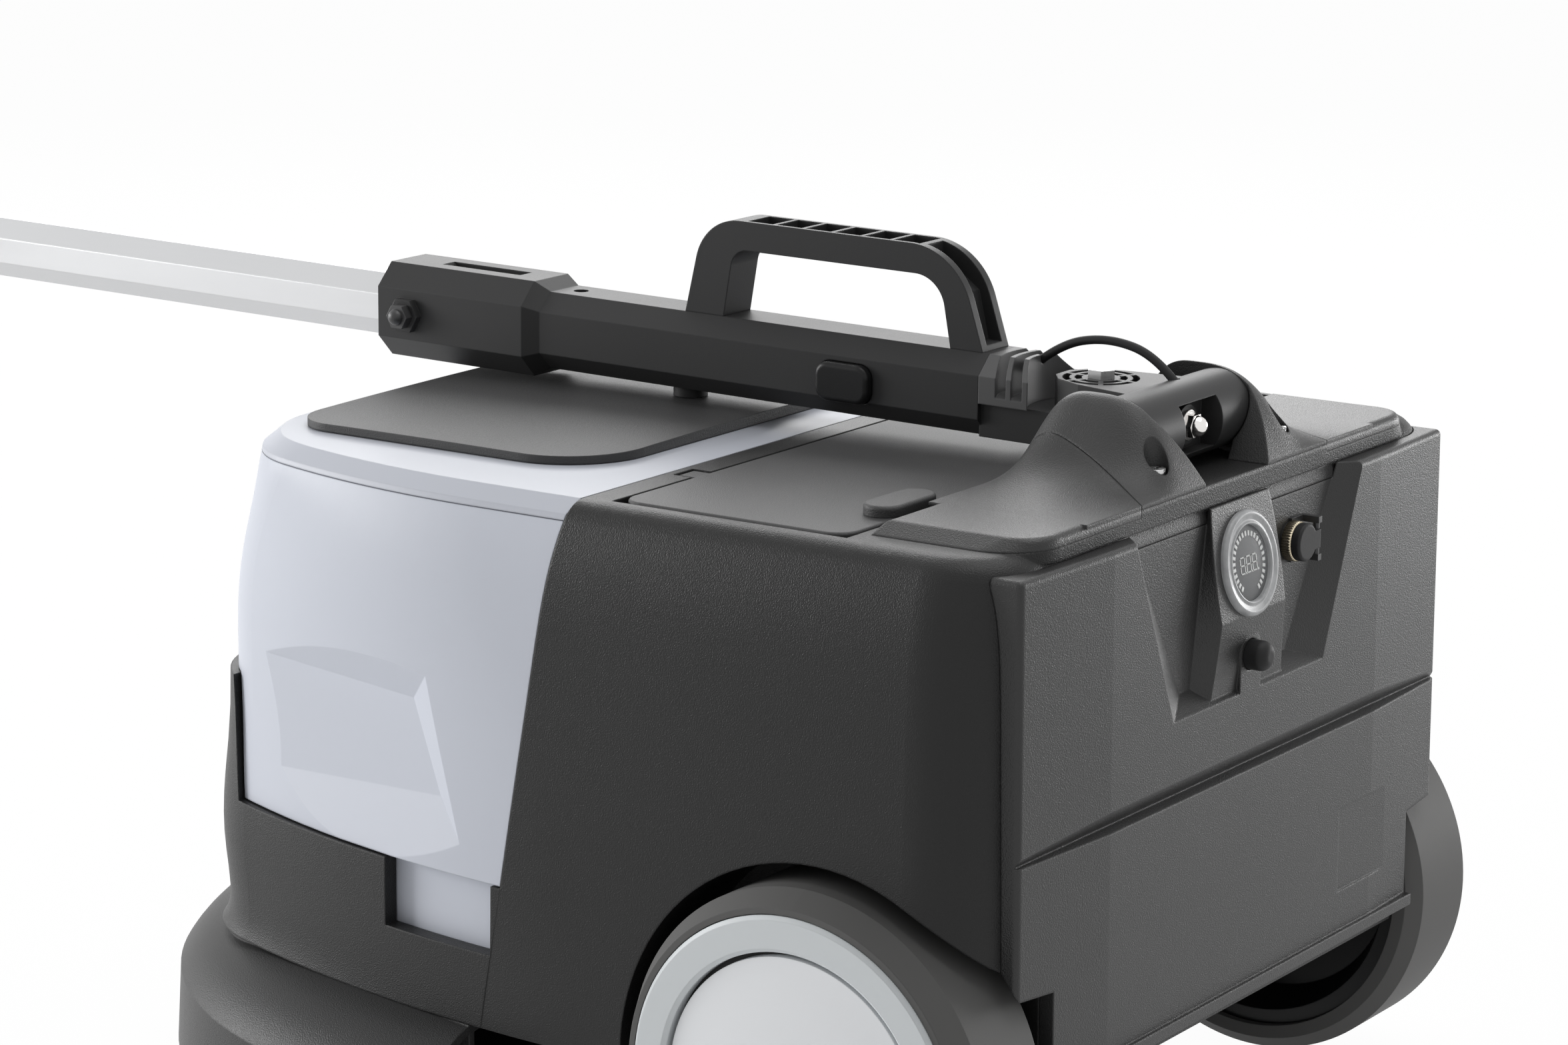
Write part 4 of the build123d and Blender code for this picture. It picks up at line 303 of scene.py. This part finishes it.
nodeFinish = {
    "shell": ["body_shell"],
    "rear": ["rear_cover", "deck_cheeks"],
    "ear": ["ear_left", "ear_right"],
    "shroud": ["brush_shroud"],
    "lid": ["tank_lid", "service_lid", "lift_tab"],
    "handle": ["yoke", "handle_sleeve", "carry_handle", "head_housing", "drive_lever"],
    "insert": ["swivel_insert"],
    "button": ["release_button", "power_button", "wheel_core_left", "wheel_core_right"],
    "tank": ["front_tank"],
    "cap": ["tank_cap"],
    "trim": ["wheel_trim_left", "wheel_trim_right"],
    "bezel": ["gauge_bezel"],
    "lens": ["gauge_lens"],
    "rubber": ["grip_left", "grip_right", "rest_foot", "lid_seal", "splash_apron", "squeegee_blades",
               "breaker_button", "socket_cap", "handle_cable"],
    "tyre": ["tyre_left", "tyre_right"],
    "inner": ["pad_driver", "squeegee_frame", "suction_pipe", "battery", "scrub_pad"],
    "gauge": ["gauge_body"],
    "tube": ["handle_tube", "handle_bar"],
    "chrome": ["dome_nut"],
    "steel": ["pivot_pin", "swivel_bolt", "ear_screws", "axle", "axle_clips", "axle_brackets", "drive_hub"],
    "paint": ["base_plate", "rear_floor", "clamp_bolt", "charge_socket"],
    "motor": ["brush_motor", "vacuum_motor", "water_pump"],
}
for finishName, members in nodeFinish.items():
    for member in members:
        slots = nodes[member].data.materials
        slots.clear()
        slots.append(finishes[finishName])
print("finishes on", sum(len(m) for m in nodeFinish.values()), "nodes")


# quads between neighbouring rings of points, wrapping round each ring
def ringFaces(rings):
    rows, sides = rings.shape[:2]
    r = np.arange(rows - 1)[:, None] * sides
    c = np.arange(sides)[None, :]
    c2 = (c + 1) % sides
    quads = np.stack([r + c, r + c2, r + sides + c2, r + sides + c], -1)
    return quads.reshape(-1, 4)


# points closer together than this become one
weldDistance = 1e-6


# puts points and faces into a mesh piece that rides on a body
def addPiece(name, points, faces, body, finish, standsFor=(), smooth=True):
    mesh = bpy.data.meshes.new(name)
    mesh.from_pydata(np.asarray(points, float).reshape(-1, 3).tolist(), [], np.asarray(faces).tolist())
    work = bmesh.new()
    work.from_mesh(mesh)
    bmesh.ops.remove_doubles(work, verts=work.verts, dist=weldDistance)
    bmesh.ops.recalc_face_normals(work, faces=work.faces)
    work.to_mesh(mesh)
    work.free()
    mesh.polygons.foreach_set("use_smooth", [smooth] * len(mesh.polygons))
    mesh.materials.append(finish)
    piece = bpy.data.objects.new(name, mesh)
    bpy.context.scene.collection.objects.link(piece)
    if body:
        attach(piece, body)
    if standsFor:
        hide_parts(*standsFor)
    return piece


# the handle's own axes: u runs forward from a point just behind the fold pivot, v upwards, x to the left
handleFrame = {"origin": (0.0, 0.302, 0.387), "slope": 0.014}


def handlePoint(u, v, x=0.0):
    incline = np.hypot(1, handleFrame["slope"])
    c, s = 1 / incline, handleFrame["slope"] / incline
    startX, startY, startZ = handleFrame["origin"]
    return np.array((startX + x, startY - u * c + v * s, startZ + u * s + v * c))


# control cable: an arch from the yoke over the swivel into the ribbed insert
cable = {
    "route": ((0.010, 0.009, -0.010), (0.024, 0.026, -0.009), (0.052, 0.033, -0.007), (0.080, 0.026, -0.005),
              (0.097, 0.010, -0.004)),
    "radius": 0.0022,
    "sides": 16,
}


# points along the smooth line that the route's control points give
def smoothLine(name, route):
    data = bpy.data.curves.new(name, "CURVE")
    data.dimensions = "3D"
    spline = data.splines.new("NURBS")
    spline.points.add(len(route) - 1)
    for point, place in zip(spline.points, route):
        point.co = (*place, 1)
    spline.order_u = 3
    spline.use_endpoint_u = True
    spline.resolution_u = 12
    holder = bpy.data.objects.new(name, data)
    line = bpy.data.meshes.new_from_object(holder)
    points = np.empty(len(line.vertices) * 3)
    line.vertices.foreach_get("co", points)
    bpy.data.objects.remove(holder)
    bpy.data.meshes.remove(line)
    return points.reshape(-1, 3)


# round tube: each ring is centre + radius * (cos a * side + sin a * over), side staying close to X
def sweptTube(path, radius, sides):
    along = np.gradient(path, axis=0)
    along /= np.linalg.norm(along, axis=1)[:, None]
    side = np.array((1.0, 0, 0)) - along[:, :1] * along
    side /= np.linalg.norm(side, axis=1)[:, None]
    over = np.cross(along, side)
    angle = np.linspace(0, 2 * np.pi, sides, endpoint=False)[None, :, None]
    return path[:, None] + radius * (np.cos(angle) * side[:, None] + np.sin(angle) * over[:, None])


def addCable(setup):
    path = smoothLine("cableLine", [handlePoint(*p) for p in setup["route"]])
    rings = sweptTube(path, setup["radius"], setup["sides"])
    faces = ringFaces(rings)
    piece = addPiece("controlCable", rings, faces, None, finishes["rubber"],
                     standsFor=("handle_cable",))
    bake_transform(piece)


addCable(cable)
print("cable laid")


# turned surface: centre + radius * (cos a * across + sin a * over) + height * out for each profile point;
# on ribbed rows a cosine of the angle is taken off the radius
def turned(profile, centre, axes, sides, ribs=0, ribDepth=0.0, ribRows=()):
    profile = np.asarray(profile, float)
    angle = np.linspace(0, 2 * np.pi, sides, endpoint=False)
    radius = np.repeat(profile[:, :1], sides, 1)
    if ribs:
        wave = 0.5 + 0.5 * np.cos(angle * ribs)
        radius = radius - ribDepth * np.asarray(ribRows, float)[:, None] * wave[None]
    across, over, out = (np.asarray(a, float) for a in axes)
    flat = np.cos(angle)[:, None] * across + np.sin(angle)[:, None] * over
    return np.asarray(centre) + radius[:, :, None] * flat[None] + profile[:, 1, None, None] * out


# gauge on the leaning boss: milky rim, printed ring and digits, and a low domed window
gauge = {
    "centre": (0.0, 0.33507, 0.320),
    "lean": 9.293,
    "rim": ((0.0260, 0.0), (0.0260, 0.0012), (0.0254, 0.0024), (0.0244, 0.0030), (0.0232, 0.0027),
            (0.0214, 0.0022), (0.0201, 0.0021), (0.0197, 0.0026), (0.0190, 0.0026), (0.0187, 0.0020),
            (0.0184, 0.0004)),
    "window": ((0.0183, 0.0012), (0.0183, 0.0017), (0.0150, 0.0021), (0.0090, 0.0024), (0.0030, 0.0025),
               (0.00001, 0.0025)),
    "face": ((0.0185, 0.0), (0.0185, 0.0003), (0.0180, 0.0004), (0.00001, 0.0004)),
    "marks": 26, "markRadius": (0.0131, 0.0157), "markHalf": 0.00085, "markHeight": 0.0006,
    "digits": 3, "digitWidth": 0.0040, "digitHeight": 0.0078, "digitPitch": 0.0058, "stroke": 0.0007,
    "sides": 96, "markSweep": (232, -62), "barFoot": 0.0002, "dotScale": 1.5, "dotGap": 0.0009,
    "digitShift": (-0.0004, -0.0005),
}


# the boss leans back: its directions to the right, up its face and straight out of it
def gaugeAxes(setup):
    lean = np.radians(setup["lean"])
    out = np.array((0, np.cos(lean), np.sin(lean)))
    return np.array((-1.0, 0, 0)), np.array((0, -np.sin(lean), np.cos(lean))), out


# flat bars, each given by its four plan corners, standing a little above the face
def addBars(name, bars, height, setup, finish):
    across, over, out = gaugeAxes(setup)
    plan = np.asarray(bars, float)
    points = np.asarray(setup["centre"]) + plan[..., :1] * across + plan[..., 1:] * over
    layers = np.stack([points + out * setup["barFoot"], points + out * height], 1)
    # the six sides of a bar from its eight corners, repeated for every bar
    box = np.array(((4, 5, 6, 7), (0, 1, 5, 4), (1, 2, 6, 5), (2, 3, 7, 6), (3, 0, 4, 7), (3, 2, 1, 0)))
    faces = (box[None] + 8 * np.arange(len(plan))[:, None, None]).reshape(-1, 4)
    addPiece(name, layers, faces, "base", finish, smooth=False)


def addGauge(setup):
    axes = gaugeAxes(setup)
    for name, key, slot, finish, old in (
        ("gaugeRim", "rim", "bezel_plastic", "bezel", ("gauge_bezel",)),
        ("gaugeWindow", "window", "lens_glass", "lens", ("gauge_lens",)),
        ("gaugeFace", "face", "gauge_plastic", "gauge", ()),
    ):
        rings = turned(setup[key], setup["centre"], axes, setup["sides"])
        faces = ringFaces(rings)
        addPiece(name, rings, faces, "base", finishes[finish], standsFor=old)
    # marks round the face, open at the bottom
    turn = np.radians(np.linspace(*setup["markSweep"], setup["marks"]))
    ray = np.column_stack([np.cos(turn), np.sin(turn)])
    side = np.column_stack([-ray[:, 1], ray[:, 0]]) * setup["markHalf"]
    inner, outer = setup["markRadius"]
    bars = [np.stack([ray * inner - side, ray * outer - side, ray * outer + side, ray * inner + side], 1)]
    # digits of seven bars and a dot each, side by side about the middle
    w, h, t = setup["digitWidth"] / 2, setup["digitHeight"] / 2, setup["stroke"] / 2
    lying = np.array(((-w + t, -t), (w - t, -t), (w - t, t), (-w + t, t)))
    standing = np.array(((-t, t), (t, t), (t, h - t), (-t, h - t)))
    strokes = [lying + (0, y) for y in (-h, 0, h)]
    strokes += [standing + (x, y) for x in (-w, w) for y in (-h, 0)]
    dot = np.array(((-t, -t), (t, -t), (t, t), (-t, t))) * setup["dotScale"]
    strokes.append(dot + (w + setup["dotGap"], -h))
    step = np.arange(setup["digits"]) - (setup["digits"] - 1) / 2
    places = step[:, None, None, None] * np.array((setup["digitPitch"], 0))
    bars.append((np.asarray(strokes)[None] + places + setup["digitShift"]).reshape(-1, 4, 2))
    addBars("gaugeMarks", np.concatenate(bars), setup["markHeight"], setup, finishes["print"])


addGauge(gauge)
print("gauge built")

# knurled ring of the charging socket, round the CAD socket
socketRing = {
    "centre": (-0.054, 0.328, 0.320),
    "profile": ((0.0072, 0.0003), (0.0090, 0.0003), (0.0101, 0.0008), (0.0101, 0.0052), (0.0096, 0.0060),
                (0.0086, 0.0061)),
    "ribs": 44, "ribDepth": 0.0005, "ribRows": (0, 0, 1, 1, 0, 0), "sides": 352,
}


def addSocketRing(setup):
    axes = (np.array((-1.0, 0, 0)), np.array((0, 0, 1.0)), np.array((0, 1.0, 0)))
    ribbing = (setup["ribs"], setup["ribDepth"], setup["ribRows"])
    rings = turned(setup["profile"], setup["centre"], axes, setup["sides"], *ribbing)
    faces = ringFaces(rings)
    addPiece("socketRing", rings, faces, "base", finishes["brass"])


addSocketRing(socketRing)
print("socket ring built")

# scrub pad: a thick nonwoven disc with soft edges and a slightly wavy underside
pad = {
    "radius": 0.215, "thick": 0.022, "edge": 0.006, "edgeSteps": 15, "squareness": 0.6,
    "pinhole": 0.00001, "rings": 40, "sides": 180,
    "wave": 0.0005, "waveAlong": (61, 53), "waveShift": 1.3,
}


def addPad(setup):
    half = setup["thick"] / 2
    reach = setup["radius"] - setup["edge"]
    # rounded edge: reach + edge * cos b and half + half * sin b, both squared up by a power below one
    bend = np.linspace(-np.pi / 2, np.pi / 2, setup["edgeSteps"])
    power = setup["squareness"]
    squared = np.sign(np.sin(bend)) * np.abs(np.sin(bend)) ** power
    edge = np.column_stack([reach + setup["edge"] * np.cos(bend) ** power, half + half * squared])
    inner = np.linspace(setup["pinhole"], reach, setup["rings"])
    profile = np.concatenate([
        np.column_stack([inner[:-1], np.zeros(len(inner) - 1)]), edge,
        np.column_stack([inner[:-1][::-1], np.full(len(inner) - 1, setup["thick"])]),
    ])
    axes = (np.array((1.0, 0, 0)), np.array((0, 1.0, 0)), np.array((0, 0, 1.0)))
    rings = turned(profile, (0, 0, 0.0), axes, setup["sides"])
    # low waves, a sine along X times a cosine along Y, lift the underside and never sink below the floor
    x, y, z = rings[..., 0], rings[..., 1], rings[..., 2]
    waveX, waveY = setup["waveAlong"]
    ripple = np.sin(waveX * x + setup["waveShift"]) * np.cos(waveY * y)
    lift = setup["wave"] * (1 + ripple) * (1 - z / setup["thick"])
    rings[..., 2] = z + lift
    faces = ringFaces(rings)
    piece = addPiece("scrubPad", rings, faces, "brush", finishes["pad"],
                     standsFor=("scrub_pad",))


addPad(pad)
print("pad built")

# studio: pale floor, white surroundings and soft lamps
studio = {
    "floorHalf": 14.0, "floorDrop": 0.0006, "floorColour": 0.9, "floorRough": 0.9, "floorWhite": 0.97,
    "worldStrength": 0.36,
}


# one for camera, mirror and glass rays, nothing for the light that falls on the object
def seenDirectly(wire):
    rays = [wire.node("LightPath", out=name) for name in
            ("Is Camera Ray", "Is Glossy Ray", "Is Transmission Ray")]
    return wire.math("MAXIMUM", wire.math("MAXIMUM", rays[0], rays[1]), rays[2])


def addStudio(setup):
    world = bpy.data.worlds.new("studioWorld")
    bpy.context.scene.world = world
    world.use_nodes = True
    tree = world.node_tree
    tree.nodes.clear()
    wire = Wire(tree)
    strength = setup["worldStrength"] + seenDirectly(wire) * (1 - setup["worldStrength"])
    sky = wire.node("Background", None, {"Color": (1, 1, 1, 1), "Strength": strength})
    output = tree.nodes.new("ShaderNodeOutputWorld")
    tree.links.new(sky.socket, output.inputs[0])

    half = setup["floorHalf"]
    corners = np.array(((-1, -1), (1, -1), (1, 1), (-1, 1))) * half
    points = np.column_stack([corners, np.full(4, -setup["floorDrop"])])
    mesh = bpy.data.meshes.new("paleFloor")
    mesh.from_pydata(points.tolist(), [], [(0, 1, 2, 3)])
    floor = bpy.data.objects.new("paleFloor", mesh)
    bpy.context.scene.collection.objects.link(floor)
    material, wire, shader = startFinish("floorPaper")[:3]
    shade = setup["floorColour"]
    shader.inputs["Base Color"].default_value = (shade, shade, shade, 1)
    shader.inputs["Roughness"].default_value = setup["floorRough"]
    shader.inputs["Specular IOR Level"].default_value = 0.0
    white = wire.node("Emission", None, {"Color": (1, 1, 1, 1), "Strength": 1.0})
    mixed = wire.node("MixShader", None, {
        0: seenDirectly(wire) * setup["floorWhite"], 1: Wire(wire.tree, shader.outputs[0]), 2: white,
    })
    output = next(n for n in wire.tree.nodes if n.type == "OUTPUT_MATERIAL")
    wire.tree.links.new(mixed.socket, output.inputs[0])
    mesh.materials.append(material)


addStudio(studio)

# lamps: place, the point each one faces, its width and height, and its power in watts
lamps = {
    "topSoftbox": {"place": (-0.3, 0.6, 2.5), "aim": (0, 0.1, 0.3), "size": (1.6, 1.6), "power": 21},
    "rightSoftbox": {
        "place": (-3.05, 1.25, 0.34), "aim": (-0.2, 0.3, 0.22), "size": (1.5, 0.64), "power": 34,
    },
    "frontSoftbox": {"place": (1.2, -3.0, 0.95), "aim": (0.1, -0.1, 0.2), "size": (1.8, 1.5), "power": 80},
    "farSoftbox": {"place": (-2.4, -1.7, 1.85), "aim": (0, 0.1, 0.35), "size": (2.4, 1.8), "power": 48},
}


def addLamp(name, setup):
    data = bpy.data.lights.new(name, "AREA")
    data.shape = "RECTANGLE"
    data.size, data.size_y = setup["size"]
    data.energy = setup["power"]
    lamp = bpy.data.objects.new(name, data)
    lamp.location = setup["place"]
    facing = Vector(setup["aim"]) - Vector(setup["place"])
    lamp.rotation_mode = "QUATERNION"
    lamp.rotation_quaternion = facing.to_track_quat("-Z", "Y")
    bpy.context.scene.collection.objects.link(lamp)


for lampName, lampSetup in lamps.items():
    addLamp(lampName, lampSetup)

bpy.context.scene.view_settings.view_transform = "Standard"
print("studio ready")
